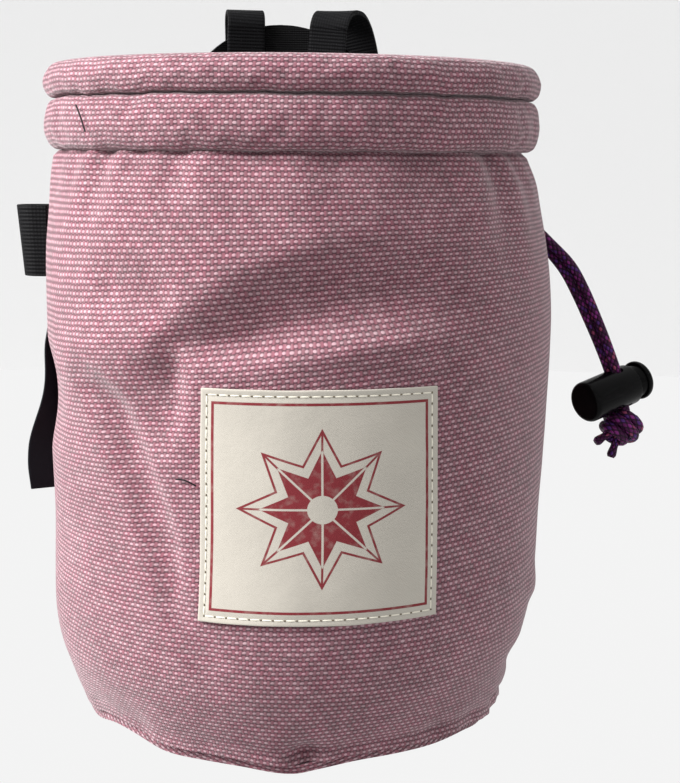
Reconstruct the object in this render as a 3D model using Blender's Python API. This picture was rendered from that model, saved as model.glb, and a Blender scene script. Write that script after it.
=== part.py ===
"""Climbing chalk bag: a round woven bag with a padded mouth, a sewn patch, webbing loops and a drawcord.

The bag stands on its base, with the base's underside at z = 0 and its centre at the origin.
The front, with the patch, faces -Y, and the belt loops are at the back, at +Y.
An azimuth is counted from the front, and grows towards +X.
"""
import math

import bpy
import bmesh
from mathutils import Matrix, Vector

# Main sizes, in metres
WALL_HEIGHT = 0.135
BODY_RADIUS = 0.060
WALL_THICKNESS = 0.0016
BASE_RADIUS = 0.0496
BASE_THICKNESS = 0.0020
GAP = 0.0003

# The padded mouth: two rolls on one band
LOWER_ROLL_HEIGHT = 0.0117
TOP_ROLL_HEIGHT = 0.0080
ROLL_RADIUS = 0.0580
ROLL_THICKNESS = 0.0075
ROLL_SHIFT = 0.0005

# The lining, a loose cup
LINING_THICKNESS = 0.0012
LINING_RADIUS = 0.0500
LINING_BASE_RADIUS = 0.0440
LINING_DROP = 0.0030

# Depths of the cloth's folds, and the gathers under the mouth
FOLD_DEPTH = 0.0050
GATHER_HEIGHT = 0.0008
GATHER_COUNT = 24
GATHER_LENGTH = 0.018

# The patch on the front
PATCH_WIDTH = 0.0490
PATCH_FLARE = 0.0020
PATCH_HEIGHT = 0.0498
PATCH_THICKNESS = 0.0008
PATCH_AZIMUTH = 4.4
PATCH_BOTTOM = 0.0372
PATCH_FLAT_MARGIN = 0.003
PATCH_FADE = 0.007

# The brush loop and the ribbon under it, both on the left side seam
BRUSH_AZIMUTH = -98.0
BRUSH_WEBBING_WIDTH = 0.0172
BRUSH_WEBBING_THICKNESS = 0.0012
BRUSH_LOOP_GAP = 0.0062
BRUSH_LOOP_REACH = 0.0072
BRUSH_LOOP_BOTTOM = 0.1047
BRUSH_LOOP_LEAN = 0.0007
RIBBON_THICKNESS = 0.0008
RIBBON_LENGTH = 0.0540

# The belt loops and the tab between their legs
BELT_WEBBING_WIDTH = 0.0102
BELT_WEBBING_THICKNESS = 0.0013
BELT_LOOP_TOP = 0.1735
BELT_LOOP_BOTTOM = 0.1090
BELT_LOOP_SPREAD = 0.0130
TAB_RADIUS = 0.0280
TAB_THICKNESS = 0.0018
TAB_TOP = 0.1694
TAB_BOTTOM = 0.0960
TAB_AZIMUTH = 183.0

# The drawcord: two strands side by side
CORD_DIAMETER = 0.0022
CORD_PITCH = 0.00255
CORD_AZIMUTH = 105.0
CORD_EXIT_HEIGHT = 0.1165
EYELET_BORDER = 0.0024
EYELET_THICKNESS = 0.0012
EYELET_ROUND = 0.00048
KNOT_RADIUS = 0.0053
KNOT_TAIL = 0.0030
KNOT_LENGTH_SHARE = 1.05
KNOT_DEPTH_SHARE = 0.92
KNOT_HEIGHT_SHARE = 0.76
KNOT_GROOVE_SHARE = 0.12
KNOT_TAILS = (
    ("knot_tail_left", (-0.85, -0.25, -0.42)),
    ("knot_tail_down", (-0.33, -0.12, -0.93)),
)

# The cord lock, along its own axis
BARREL_DIAMETER = 0.0102
BARREL_MOUTH = 0.0040
BARREL_LENGTH = 0.0156
BARREL_FLOOR = 0.0014
BORE_DIAMETER = 0.0086
PLUNGER_CLEARANCE = 0.0002
PLUNGER_END = 0.0013
PLUNGER_TRAVEL = 0.0024
PLUNGER_REACH = 0.0042
LOCK_AXIS = (-0.811, -0.540, -0.225)
EDGE_ROUND = 0.0006

# Mesh fineness
COLUMNS = 72
WALL_ROWS = 20
ROLL_COLUMNS = 48
LINING_COLUMNS = 30

# Wall sections from the base up, in shares: height of WALL_HEIGHT,
# radius of BODY_RADIUS, sideways shift of BODY_RADIUS
WALL_SECTIONS = (
    (0.000, 0.840, 0.008),
    (0.048, 0.877, 0.006),
    (0.089, 0.905, 0.006),
    (0.163, 0.952, 0.010),
    (0.237, 0.974, 0.020),
    (0.385, 0.978, 0.032),
    (0.533, 0.993, 0.035),
    (0.711, 1.003, 0.037),
    (0.852, 0.985, 0.026),
    (0.953, 0.952, 0.018),
    (1.000, 0.928, 0.010),
)

# Roll sections, in shares: radial of ROLL_THICKNESS from the inside, height of the roll's own height
LOWER_ROLL_SECTION = (
    (0.00, 0.00), (0.72, 0.00), (0.92, 0.14), (1.00, 0.45), (0.94, 0.82), (0.80, 1.00), (0.00, 1.00),
)
TOP_ROLL_SECTION = (
    (0.00, 0.00), (0.80, 0.00), (0.97, 0.20), (1.00, 0.50), (0.86, 0.84), (0.55, 1.00), (0.20, 0.95),
    (0.00, 0.72),
)

# Base sections from the underside's edge up, in shares: radius of BASE_RADIUS, height of BASE_THICKNESS
BASE_SECTION = ((0.940, 0.00), (0.985, 0.22), (1.000, 0.58), (0.990, 1.00))

# Lining sections from its floor up, in shares: radius from LINING_BASE_RADIUS (0) to LINING_RADIUS (1),
# height of the lining
LINING_SECTION = (
    (0.00, 0.00), (0.55, 0.03), (0.85, 0.12), (1.00, 0.30), (1.00, 0.60), (0.90, 0.85), (1.00, 1.00),
)

# The front's swell behind the patch: azimuth, height share of WALL_HEIGHT, depth share of FOLD_DEPTH, and
# how far it spreads round and up, as shares of BODY_RADIUS
SWELL = (4.0, 0.30, 0.36, 0.75, 0.62)

# The folds in the wall. A route's columns: azimuth in degrees, height as a share of WALL_HEIGHT,
# depth as a share of FOLD_DEPTH, where a minus stands out. The reaches, above and below the route,
# are shares of BODY_RADIUS.
FOLDS = (
    {"name": "big hollow", "above": 0.24, "below": 0.16, "route": (
        (-37, 0.550, 0.15), (-29, 0.605, 0.60), (-19, 0.675, 1.10), (-7, 0.735, 1.35),
        (8, 0.772, 1.30), (22, 0.785, 0.95), (38, 0.780, 0.25))},
    {"name": "bulge under the hollow", "above": 0.11, "below": 0.16, "route": (
        (-8, 0.655, -0.12), (6, 0.680, -0.40), (18, 0.695, -0.60), (30, 0.695, -0.50), (44, 0.670, -0.12))},
    {"name": "bulge over the hollow", "above": 0.20, "below": 0.18, "route": (
        (-62, 0.66, -0.20), (-48, 0.68, -0.45), (-36, 0.70, -0.30))},
    {"name": "long crease beside the patch", "above": 0.12, "below": 0.12, "route": (
        (-50, 0.640, 0.20), (-43, 0.585, 0.50), (-36, 0.490, 0.46), (-29, 0.375, 0.44), (-21, 0.250, 0.26),
        (-16, 0.180, 0.06))},
    {"name": "shallow dent high on the left", "above": 0.14, "below": 0.14, "route": (
        (-42, 0.790, 0.30), (-32, 0.780, 0.34))},
    {"name": "dent in the left side", "above": 0.22, "below": 0.25, "route": (
        (-96, 0.560, 0.34), (-84, 0.585, 0.56), (-72, 0.600, 0.26))},
    {"name": "sagging fold low on the right", "above": 0.12, "below": 0.07, "route": (
        (72, 0.250, -0.08), (86, 0.215, -0.24), (104, 0.200, -0.26), (118, 0.210, -0.05))},
    {"name": "hollow under the sagging fold", "above": 0.07, "below": 0.12, "route": (
        (66, 0.125, 0.10), (84, 0.115, 0.40), (104, 0.105, 0.30), (118, 0.105, 0.05))},
)

# The ribbon's rows from its top down: share of RIBBON_LENGTH, azimuth of its front edge, stand-off of that
# edge as a share of RIBBON_STANDOFF, azimuth of its back edge
RIBBON_STANDOFF = 0.0096
RIBBON_ROWS = (
    (0.00, -101.5, 0.05, -113.0),
    (0.12, -100.0, 0.11, -111.5),
    (0.24, -98.5, 0.24, -109.5),
    (0.38, -98.5, 0.44, -108.5),
    (0.56, -99.0, 0.68, -107.5),
    (0.74, -99.5, 0.90, -106.5),
    (0.88, -99.5, 1.00, -106.0),
    (1.00, -99.5, 0.97, -106.0),
)

# A belt loop's route from the front leg's foot over the top to the rear leg's foot, in shares: the way from
# the front seat to the rear seat, the bulge of BELT_LOOP_SPREAD, the loop's height, and the loop's skew
LOOP_ROUTE = (
    (0.0, 0.00, 0.00, 0.00), (0.0, 0.00, 0.30, 0.02), (0.0, 0.00, 0.60, 0.10), (0.0, 0.00, 0.88, 0.22),
    (0.0, 0.00, 0.95, 0.28), (0.35, 0.06, 0.99, 0.38), (0.7, 0.26, 1.00, 0.50), (1.0, 0.48, 0.975, 0.66),
    (1.0, 0.66, 0.90, 0.82), (1.0, 0.76, 0.77, 0.94), (1.0, 0.72, 0.55, 1.00), (1.0, 0.48, 0.32, 1.00),
    (1.0, 0.17, 0.14, 1.00), (1.0, 0.03, 0.06, 1.00), (1.0, 0.01, 0.00, 1.00),
)
# Each belt loop: node name, azimuth of its front foot, and how far its rear foot is turned from that
BELT_LOOPS = (
    ("belt_loop_left", 192.6, -2.0),
    ("belt_loop_right", 173.0, -8.6),
)

# The cord's route, chosen by hand, in metres from the middle of the exit on the wall: across, back, up.
# The last two columns are the direction from strand a to strand b, across and back
CORD_ROUTE = (
    (0.0006, 0.0002, -0.0001, 0.26, -0.97),
    (0.0029, 0.0006, -0.0009, 0.35, -0.94),
    (0.0059, -0.0005, -0.0043, 0.60, -0.80),
    (0.0106, -0.0021, -0.0097, 0.80, -0.60),
    (0.0138, -0.0037, -0.0156, 0.80, -0.60),
    (0.0167, -0.0053, -0.0222, 0.72, -0.69),
    (0.0190, -0.0069, -0.0279, 0.62, -0.78),
    (0.0213, -0.0088, -0.0344, 0.54, -0.84),
    (0.0226, -0.0095, -0.0394, 0.54, -0.84),
    (0.0240, -0.0096, -0.0450, 0.54, -0.84),
)
LOCK_POINT = 8
CORD_STEP = 0.0050


def smooth_row(rows, share):
    """Every column of a table at one share of its first column, on a smooth curve through the rows."""
    last = len(rows) - 1
    share = min(max(share, rows[0][0]), rows[last][0])
    index = 0
    while index < last - 1 and rows[index + 1][0] < share:
        index += 1
    before = rows[max(index - 1, 0)]
    low = rows[index]
    high = rows[index + 1]
    after = rows[min(index + 2, last)]
    span = high[0] - low[0]
    t = (share - low[0]) / span
    values = []
    for column in range(1, len(low)):
        slope_low = (high[column] - before[column]) / (high[0] - before[0]) * span
        slope_high = (after[column] - low[column]) / (after[0] - low[0]) * span
        values.append(
            (2 * t**3 - 3 * t**2 + 1) * low[column]
            + (t**3 - 2 * t**2 + t) * slope_low
            + (3 * t**2 - 2 * t**3) * high[column]
            + (t**3 - t**2) * slope_high
        )
    return values


def fade(value, start, end):
    """0 up to start, 1 from end on, and smooth between."""
    t = min(max((value - start) / (end - start), 0.0), 1.0)
    return t * t * (3 - 2 * t)


def wrap(angle):
    """An angle in degrees, brought between -180 and 180."""
    return (angle + 180.0) % 360.0 - 180.0


def fold_depth(fold, azimuth, height):
    """How far one fold pushes the wall in at a place."""
    best = None
    for start, end in zip(fold["route"], fold["route"][1:]):
        across = math.radians(wrap(end[0] - start[0])) * BODY_RADIUS
        up = (end[1] - start[1]) * WALL_HEIGHT
        place_across = math.radians(wrap(azimuth - start[0])) * BODY_RADIUS
        place_up = height - start[1] * WALL_HEIGHT
        t = (place_across * across + place_up * up) / (across * across + up * up)
        t = min(max(t, 0.0), 1.0)
        away = math.hypot(place_across - t * across, place_up - t * up)
        if best is None or away < best[0]:
            best = (away, place_up - t * up, start[2] + t * (end[2] - start[2]))
    away, rise, depth = best
    lean = 0.5 + 0.5 * (rise / away if away > 0.0 else 0.0)
    reach = (fold["below"] + (fold["above"] - fold["below"]) * lean) * BODY_RADIUS
    if away >= reach:
        return 0.0
    return depth * FOLD_DEPTH * (1 - (away / reach) ** 2) ** 2


def patch_calm(azimuth, height):
    """0 on the patch, where the stiff patch keeps the wall smooth, and 1 well away from it."""
    across = abs(math.radians(wrap(azimuth - PATCH_AZIMUTH))) * BODY_RADIUS - PATCH_WIDTH / 2
    up = abs(height - PATCH_BOTTOM - PATCH_HEIGHT / 2) - PATCH_HEIGHT / 2
    return fade(max(across, up), PATCH_FLAT_MARGIN, PATCH_FLAT_MARGIN + PATCH_FADE)


def section(height):
    """The wall's radius without folds, and its sideways shift, at a height."""
    radius, shift = smooth_row(WALL_SECTIONS, height / WALL_HEIGHT)
    return radius * BODY_RADIUS, shift * BODY_RADIUS


def swell(azimuth, height):
    """How far the front swells out at a place."""
    middle, level, depth, around, up = SWELL
    across = math.radians(wrap(azimuth - middle)) / around
    rise = (height - level * WALL_HEIGHT) / (up * BODY_RADIUS)
    return depth * FOLD_DEPTH * math.exp(-2 * (across**2 + rise**2))


def wall_radius(azimuth, height):
    """The radius of the wall's outer face, with its swell, folds and gathers."""
    radius = section(height)[0] + swell(azimuth, height)
    push = sum(fold_depth(fold, azimuth, height) for fold in FOLDS)
    radius -= push * patch_calm(azimuth, height)
    gather = 0.5 * GATHER_HEIGHT * fade(height, WALL_HEIGHT - GATHER_LENGTH, WALL_HEIGHT)
    return radius + gather * math.cos(math.radians(azimuth * GATHER_COUNT))


def place(azimuth, radius, height):
    """A point at a radius from the middle of the wall at its height."""
    angle = math.radians(azimuth)
    shift = section(height)[1]
    return Vector((shift + radius * math.sin(angle), -radius * math.cos(angle), height))


def outward(azimuth):
    angle = math.radians(azimuth)
    return Vector((math.sin(angle), -math.cos(angle), 0.0))


def sideways(azimuth):
    angle = math.radians(azimuth)
    return Vector((math.cos(angle), math.sin(angle), 0.0))


def smooth_path(points, steps):
    """Points on a smooth curve through the given points, with a number of steps on each span."""
    path = []
    last = len(points) - 1
    for index in range(last):
        before = points[max(index - 1, 0)]
        low = points[index]
        high = points[index + 1]
        after = points[min(index + 2, last)]
        for step in range(steps):
            t = step / steps
            path.append(
                0.5 * (2 * low + (high - before) * t
                       + (2 * before - 5 * low + 4 * high - after) * t**2
                       + (3 * low - before - 3 * high + after) * t**3))
    path.append(points[last].copy())
    return path


def even_path(path, spacing):
    """Points a steady distance apart along a path."""
    lengths = [0.0]
    for start, end in zip(path, path[1:]):
        lengths.append(lengths[-1] + (end - start).length)
    count = max(2, round(lengths[-1] / spacing))
    even = []
    index = 0
    for step in range(count + 1):
        target = lengths[-1] * step / count
        while index < len(path) - 2 and lengths[index + 1] < target:
            index += 1
        t = (target - lengths[index]) / (lengths[index + 1] - lengths[index])
        even.append(path[index].lerp(path[index + 1], t))
    return even


def material(name, color, roughness, metallic=0.0):
    made = bpy.data.materials.new(name)
    made.use_nodes = True
    shader = made.node_tree.nodes["Principled BSDF"]
    shader.inputs["Base Color"].default_value = (*color, 1.0)
    shader.inputs["Roughness"].default_value = roughness
    shader.inputs["Metallic"].default_value = metallic
    made.diffuse_color = (*color, 1.0)
    return made


def finish(name, bm, finish_material):
    """Turn a closed bmesh into a named object, with its faces pointing out and its round parts smooth."""
    bmesh.ops.recalc_face_normals(bm, faces=bm.faces)
    mesh = bpy.data.meshes.new(name)
    bm.to_mesh(mesh)
    bm.free()
    mesh.shade_smooth()
    mesh.set_sharp_from_angle(angle=math.radians(40))
    made = bpy.data.objects.new(name, mesh)
    bpy.context.collection.objects.link(made)
    made.data.materials.append(finish_material)
    return made


def loft(name, rings, finish_material, closed_section=False, closed_ring=True):
    """A solid through rings of points: a closed section joins the last ring to the first, and an open one
    has its two end rings capped."""
    bm = bmesh.new()
    grid = [[bm.verts.new(point) for point in ring] for ring in rings]
    ring_count = len(grid) if closed_section else len(grid) - 1
    side_count = len(grid[0]) if closed_ring else len(grid[0]) - 1
    for row in range(ring_count):
        here = grid[row]
        there = grid[(row + 1) % len(grid)]
        for side in range(side_count):
            beside = (side + 1) % len(here)
            bm.faces.new((here[side], here[beside], there[beside], there[side]))
    if not closed_section:
        bm.faces.new(grid[0])
        bm.faces.new(reversed(grid[-1]))
    return finish(name, bm, finish_material)


def azimuths(count):
    return [360.0 * column / count for column in range(count)]


def sheet(name, front, back, finish_material):
    """A thin solid between two grids of points that match, row by row."""
    rings = []
    for front_row, back_row in zip(front, back):
        rings.append(list(front_row) + list(reversed(back_row)))
    return loft(name, rings, finish_material)


def body_shell(cloth):
    """The cloth wall, from just above the base to just under the mouth."""
    low = BASE_THICKNESS + GAP
    high = WALL_HEIGHT - GAP / 2
    heights = [low + (high - low) * row / WALL_ROWS for row in range(WALL_ROWS + 1)]
    outer = []
    inner = []
    for height in heights:
        radii = [wall_radius(azimuth, height) for azimuth in azimuths(COLUMNS)]
        outer.append([place(a, r, height) for a, r in zip(azimuths(COLUMNS), radii)])
        inner.append([place(a, r - WALL_THICKNESS, height) for a, r in zip(azimuths(COLUMNS), radii)])
    return loft("body_shell", outer + inner[::-1], cloth, closed_section=True)


def roll(name, rows, low, height, cloth):
    """One padded roll of the mouth."""
    inside = ROLL_RADIUS - ROLL_THICKNESS
    rings = []
    for radial, rise in rows:
        radius = inside + radial * ROLL_THICKNESS
        rings.append([outward(a) * radius + Vector((0, 0, rise * height)) for a in azimuths(ROLL_COLUMNS)])
    made = loft(name, rings, cloth, closed_section=True)
    made.location = (ROLL_SHIFT, 0.0, low)
    return made


def base_disc(cloth):
    """The round base, flat underneath, with the seam ridge round its edge."""
    rings = []
    for radial, rise in BASE_SECTION:
        ring = [outward(a) * radial * BASE_RADIUS + Vector((0, 0, rise * BASE_THICKNESS))
                for a in azimuths(ROLL_COLUMNS)]
        rings.append(ring)
    return loft("base_disc", rings, cloth)


def lining(fleece):
    """The loose inner cup, from just above the base to inside the upper roll."""
    floor = BASE_THICKNESS + GAP
    top = WALL_HEIGHT + LOWER_ROLL_HEIGHT + TOP_ROLL_HEIGHT - LINING_DROP
    rim = min(LINING_RADIUS, ROLL_RADIUS - ROLL_THICKNESS - GAP)
    outer = []
    inner = []
    for radial, rise in LINING_SECTION:
        radius = LINING_BASE_RADIUS + radial * (rim - LINING_BASE_RADIUS)
        height = floor + rise * (top - floor)
        inner_height = floor + LINING_THICKNESS + rise * (top - floor - LINING_THICKNESS)
        outer.append([outward(a) * radius + Vector((0, 0, height)) for a in azimuths(LINING_COLUMNS)])
        inner.append([outward(a) * (radius - LINING_THICKNESS) + Vector((0, 0, inner_height))
                      for a in azimuths(LINING_COLUMNS)])
    made = loft("lining", outer + inner[::-1], fleece)
    made.location = (ROLL_SHIFT, 0.0, 0.0)
    return made


def front_label(cotton):
    """The square patch, bent round the front of the wall."""
    columns = 12
    rows = 7
    back = []
    front = []
    for row in range(rows + 1):
        height = PATCH_BOTTOM + PATCH_HEIGHT * row / rows
        width = PATCH_WIDTH + PATCH_FLARE * (1 - row / rows)
        half = math.degrees(width / 2 / wall_radius(PATCH_AZIMUTH, height))
        angles = [PATCH_AZIMUTH - half + 2 * half * column / columns for column in range(columns + 1)]
        radii = [wall_radius(a, height) + GAP for a in angles]
        back.append([place(a, r, height) for a, r in zip(angles, radii)])
        front.append([place(a, r + PATCH_THICKNESS, height) for a, r in zip(angles, radii)])
    return sheet("front_label", front, back, cotton)


def brush_loop(webbing):
    """A webbing loop that stands out from the side seam, open from top to bottom."""
    bend = (BRUSH_LOOP_GAP + BRUSH_WEBBING_THICKNESS) / 2
    height = BRUSH_LOOP_BOTTOM + BRUSH_WEBBING_WIDTH / 2
    half_angle = math.degrees((bend + BRUSH_WEBBING_THICKNESS) / BODY_RADIUS)
    seats = [wall_radius(BRUSH_AZIMUTH + half_angle * side, height + BRUSH_WEBBING_WIDTH / 2 * end)
             for side in (-1, 0, 1) for end in (-1, 0, 1)]
    seat = max(seats) + GAP
    straight = BRUSH_LOOP_REACH - GAP - bend - BRUSH_WEBBING_THICKNESS / 2
    out = outward(BRUSH_AZIMUTH)
    side = sideways(BRUSH_AZIMUTH)
    route = [(0.0, -bend), (straight * 0.5, -bend)]
    bends = 6
    for step in range(bends + 1):
        angle = math.pi * (step / bends - 0.5)
        route.append((straight + bend * math.cos(angle), bend * math.sin(angle)))
    route += [(straight * 0.5, bend), (0.0, bend)]
    half = BRUSH_WEBBING_THICKNESS / 2
    rings = []
    for index, (away, across) in enumerate(route):
        before = Vector(route[max(index - 1, 0)])
        after = Vector(route[min(index + 1, len(route) - 1)])
        along = (after - before).normalized()
        normal = Vector((along.y, -along.x))
        ring = []
        for rise, sign in ((0.0, -1), (0.0, 1), (1.0, 1), (1.0, -1)):
            lean = BRUSH_LOOP_LEAN * rise * away / straight
            point = place(BRUSH_AZIMUTH, seat + lean, height)
            point.z = BRUSH_LOOP_BOTTOM + rise * BRUSH_WEBBING_WIDTH
            point += out * (away + sign * half * normal.x) + side * (across + sign * half * normal.y)
            ring.append(point)
        rings.append(ring)
    return loft("brush_loop", rings, webbing)


def side_label(satin):
    """The ribbon under the brush loop: its back edge lies on the wall, and its front edge swings out."""
    rings = []
    for share, front_azimuth, standoff, back_azimuth in RIBBON_ROWS:
        height = BRUSH_LOOP_BOTTOM - GAP - share * RIBBON_LENGTH
        back_radius = wall_radius(back_azimuth, height) + GAP + RIBBON_THICKNESS / 2
        front_radius = wall_radius(front_azimuth, height) + GAP + standoff * RIBBON_STANDOFF
        back_edge = place(back_azimuth, back_radius, height)
        front_edge = place(front_azimuth, front_radius, height)
        along = (front_edge - back_edge).normalized()
        normal = Vector((along.y, -along.x, 0.0)) * (RIBBON_THICKNESS / 2)
        back_edge += along * RIBBON_THICKNESS / 2
        middle_azimuth = (back_azimuth + front_azimuth) / 2
        seat = place(middle_azimuth, wall_radius(middle_azimuth, height) + GAP + RIBBON_THICKNESS, height)
        middle = back_edge.lerp(front_edge, 0.5)
        outside = (seat - middle).dot(outward(middle_azimuth))
        if outside > 0.0:
            middle += outward(middle_azimuth) * outside
        rings.append([back_edge - normal, middle - normal, front_edge - normal,
                      front_edge + normal, middle + normal, back_edge + normal])
    return loft("side_label", rings, satin)


def leg_seat():
    """The radius that the belt loops' front legs lie against: the widest of the wall and the rolls there."""
    heights = [BELT_LOOP_BOTTOM + (WALL_HEIGHT - BELT_LOOP_BOTTOM) * step / 6 for step in range(7)]
    wall = max(section(height)[0] for height in heights) + GATHER_HEIGHT / 2
    return max(wall, ROLL_RADIUS + ROLL_SHIFT) + GAP


def tab_seat():
    """The radius of the tab's inner face, just outside the flat edges of the front legs."""
    edge = (BELT_WEBBING_WIDTH / 2) ** 2 / (2 * BODY_RADIUS)
    return leg_seat() + BELT_WEBBING_THICKNESS + edge + GAP


def belt_loop(name, azimuth, skew, webbing):
    """A webbing strip, from its front foot over the tab's top to its rear foot on the tab."""
    front_seat = leg_seat() + BELT_WEBBING_THICKNESS / 2
    rear_seat = tab_seat() + TAB_THICKNESS + GAP + BELT_WEBBING_THICKNESS / 2
    rise = BELT_LOOP_TOP - BELT_WEBBING_THICKNESS / 2 - BELT_LOOP_BOTTOM
    points = []
    for blend, bulge, up, turn in LOOP_ROUTE:
        radius = front_seat + blend * (rear_seat - front_seat) + bulge * BELT_LOOP_SPREAD
        point = outward(azimuth + skew * turn) * radius
        point.z = BELT_LOOP_BOTTOM + rise * up
        points.append((point, azimuth + skew * turn))
    path = smooth_path([point for point, _ in points], 2)
    turns = smooth_path([Vector((turn, 0.0, 0.0)) for _, turn in points], 2)
    rings = []
    for index, point in enumerate(path):
        along = (path[min(index + 1, len(path) - 1)] - path[max(index - 1, 0)]).normalized()
        across = sideways(turns[index].x)
        across = (across - along * across.dot(along)).normalized()
        normal = along.cross(across) * (BELT_WEBBING_THICKNESS / 2)
        across *= BELT_WEBBING_WIDTH / 2
        rings.append([point - across - normal, point + across - normal, point + across + normal,
                      point - across + normal])
    made = loft(name, rings, webbing)
    made.location = (ROLL_SHIFT, 0.0, 0.0)
    return made


def back_tab(fabric):
    """The round-topped tab behind the front legs, sewn to the wall along its foot."""
    out = tab_seat()
    centre = TAB_TOP - TAB_RADIUS
    turn_in = BELT_LOOP_BOTTOM - 0.25 * (BELT_LOOP_BOTTOM - TAB_BOTTOM)
    rows = []
    straight_rows = 4
    for row in range(straight_rows):
        rows.append((TAB_BOTTOM + (centre - TAB_BOTTOM) * row / straight_rows, TAB_RADIUS))
    rows.insert(1, (turn_in, TAB_RADIUS))
    rows.insert(2, (BELT_LOOP_BOTTOM - GAP, TAB_RADIUS))
    rows = sorted(rows)
    round_rows = 7
    for row in range(round_rows + 1):
        angle = math.radians(84.0 * row / round_rows)
        rows.append((centre + TAB_RADIUS * math.sin(angle), TAB_RADIUS * math.cos(angle)))
    columns = 10
    front = []
    back = []
    for height, half_width in rows:
        half = math.degrees(half_width / out)
        angles = [TAB_AZIMUTH - half + 2 * half * column / columns for column in range(columns + 1)]
        wall = section(min(height, WALL_HEIGHT))[0] + GAP + GATHER_HEIGHT / 2
        lift = fade(height, turn_in, BELT_LOOP_BOTTOM - GAP)
        radius = wall + (out - wall) * lift
        back.append([outward(a) * radius + Vector((0, 0, height)) for a in angles])
        front.append([outward(a) * (radius + TAB_THICKNESS) + Vector((0, 0, height)) for a in angles])
    made = sheet("back_tab", front, back, fabric)
    made.location = (ROLL_SHIFT, 0.0, 0.0)
    return made


def cord_exit():
    """The middle of the hole that the cord leaves, on the wall's outer face."""
    return place(CORD_AZIMUTH, wall_radius(CORD_AZIMUTH, CORD_EXIT_HEIGHT) + GAP, CORD_EXIT_HEIGHT)


def exit_normal():
    """The wall's outward direction at the cord's exit, with the wall's lean there."""
    reach = EYELET_BORDER
    low = place(CORD_AZIMUTH, wall_radius(CORD_AZIMUTH, CORD_EXIT_HEIGHT - reach), CORD_EXIT_HEIGHT - reach)
    high = place(CORD_AZIMUTH, wall_radius(CORD_AZIMUTH, CORD_EXIT_HEIGHT + reach), CORD_EXIT_HEIGHT + reach)
    return sideways(CORD_AZIMUTH).cross(high - low).normalized()


def axis_frame(origin, axis, upright):
    """A matrix whose Z runs along an axis, and whose X is the upright direction squared to it."""
    z = Vector(axis).normalized()
    x = Vector(upright)
    x = (x - z * x.dot(z)).normalized()
    y = z.cross(x)
    matrix = Matrix((x, y, z)).transposed().to_4x4()
    matrix.translation = origin
    return matrix


def turned(name, profile, sides, finish_material, closed_section=False):
    """A round solid about Z through rows of radius and height."""
    rings = []
    for radius, height in profile:
        rings.append([outward(a) * radius + Vector((0, 0, height)) for a in azimuths(sides)])
    return loft(name, rings, finish_material, closed_section=closed_section)


def cord_eyelet(metal):
    """A plain eyelet seated on the wall, round the two strands."""
    bore = (CORD_PITCH + CORD_DIAMETER) / 2 + GAP
    border = bore + EYELET_BORDER
    edge = EYELET_ROUND
    profile = ((bore, 0.0), (border, 0.0), (border - edge, EYELET_THICKNESS), (bore + edge, EYELET_THICKNESS),
               (bore, EYELET_THICKNESS - edge))
    made = turned("cord_eyelet", profile, 16, metal, closed_section=True)
    made.matrix_world = axis_frame(cord_exit(), exit_normal(), (0.0, 0.0, 1.0))
    return made


def cord_route(side):
    """The route points of one strand, in world places: side is -1 for strand a and 1 for strand b."""
    start = cord_exit()
    middles = [start + Vector(row[:3]) for row in CORD_ROUTE]
    points = []
    for index, middle in enumerate(middles):
        along = (middles[min(index + 1, len(middles) - 1)] - middles[max(index - 1, 0)]).normalized()
        across = Vector((*CORD_ROUTE[index][3:], 0.0))
        across = (across - along * across.dot(along)).normalized()
        points.append(middle + across * (side * CORD_PITCH / 2))
    return points


def cord_strand(name, side, cord):
    """One strand as a round cord that follows its route."""
    points = even_path(smooth_path(cord_route(side), 8), CORD_STEP)
    curve = bpy.data.curves.new(name, "CURVE")
    curve.dimensions = "3D"
    curve.bevel_depth = CORD_DIAMETER / 2
    curve.bevel_resolution = 2
    curve.use_fill_caps = True
    spline = curve.splines.new("POLY")
    spline.points.add(len(points) - 1)
    for target, point in zip(spline.points, points):
        target.co = (*point, 1.0)
    curve.materials.append(cord)
    made = bpy.data.objects.new(name, curve)
    bpy.context.collection.objects.link(made)
    return made


def lock_frame():
    """The cord lock's own frame: its origin in the middle of the cord hole, Z the way the button is pushed,
    and X back up the cord."""
    middle = cord_exit() + Vector(CORD_ROUTE[LOCK_POINT][:3])
    up = Vector(CORD_ROUTE[LOCK_POINT - 1][:3]) - Vector(CORD_ROUTE[LOCK_POINT + 1][:3])
    return axis_frame(middle, LOCK_AXIS, up)


def slot_cutter(name, frame, low, high):
    """A hidden block that cuts the cord's slot straight through the lock, from low to high on its axis."""
    wide = (CORD_PITCH + CORD_DIAMETER) / 2 + 2 * GAP
    bm = bmesh.new()
    bmesh.ops.create_cube(bm, size=1.0)
    for vert in bm.verts:
        vert.co = Vector((vert.co.x * 2 * BARREL_DIAMETER, vert.co.y * 2 * wide,
                          low + (vert.co.z + 0.5) * (high - low)))
    mesh = bpy.data.meshes.new(name)
    bm.to_mesh(mesh)
    bm.free()
    made = bpy.data.objects.new(name, mesh)
    bpy.context.collection.objects.link(made)
    made.matrix_world = frame
    made.hide_render = True
    made.display_type = "WIRE"
    return made


def cut(target, cutter, operation="DIFFERENCE"):
    modifier = target.modifiers.new(cutter.name, "BOOLEAN")
    modifier.operation = operation
    modifier.solver = "EXACT"
    modifier.object = cutter


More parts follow.
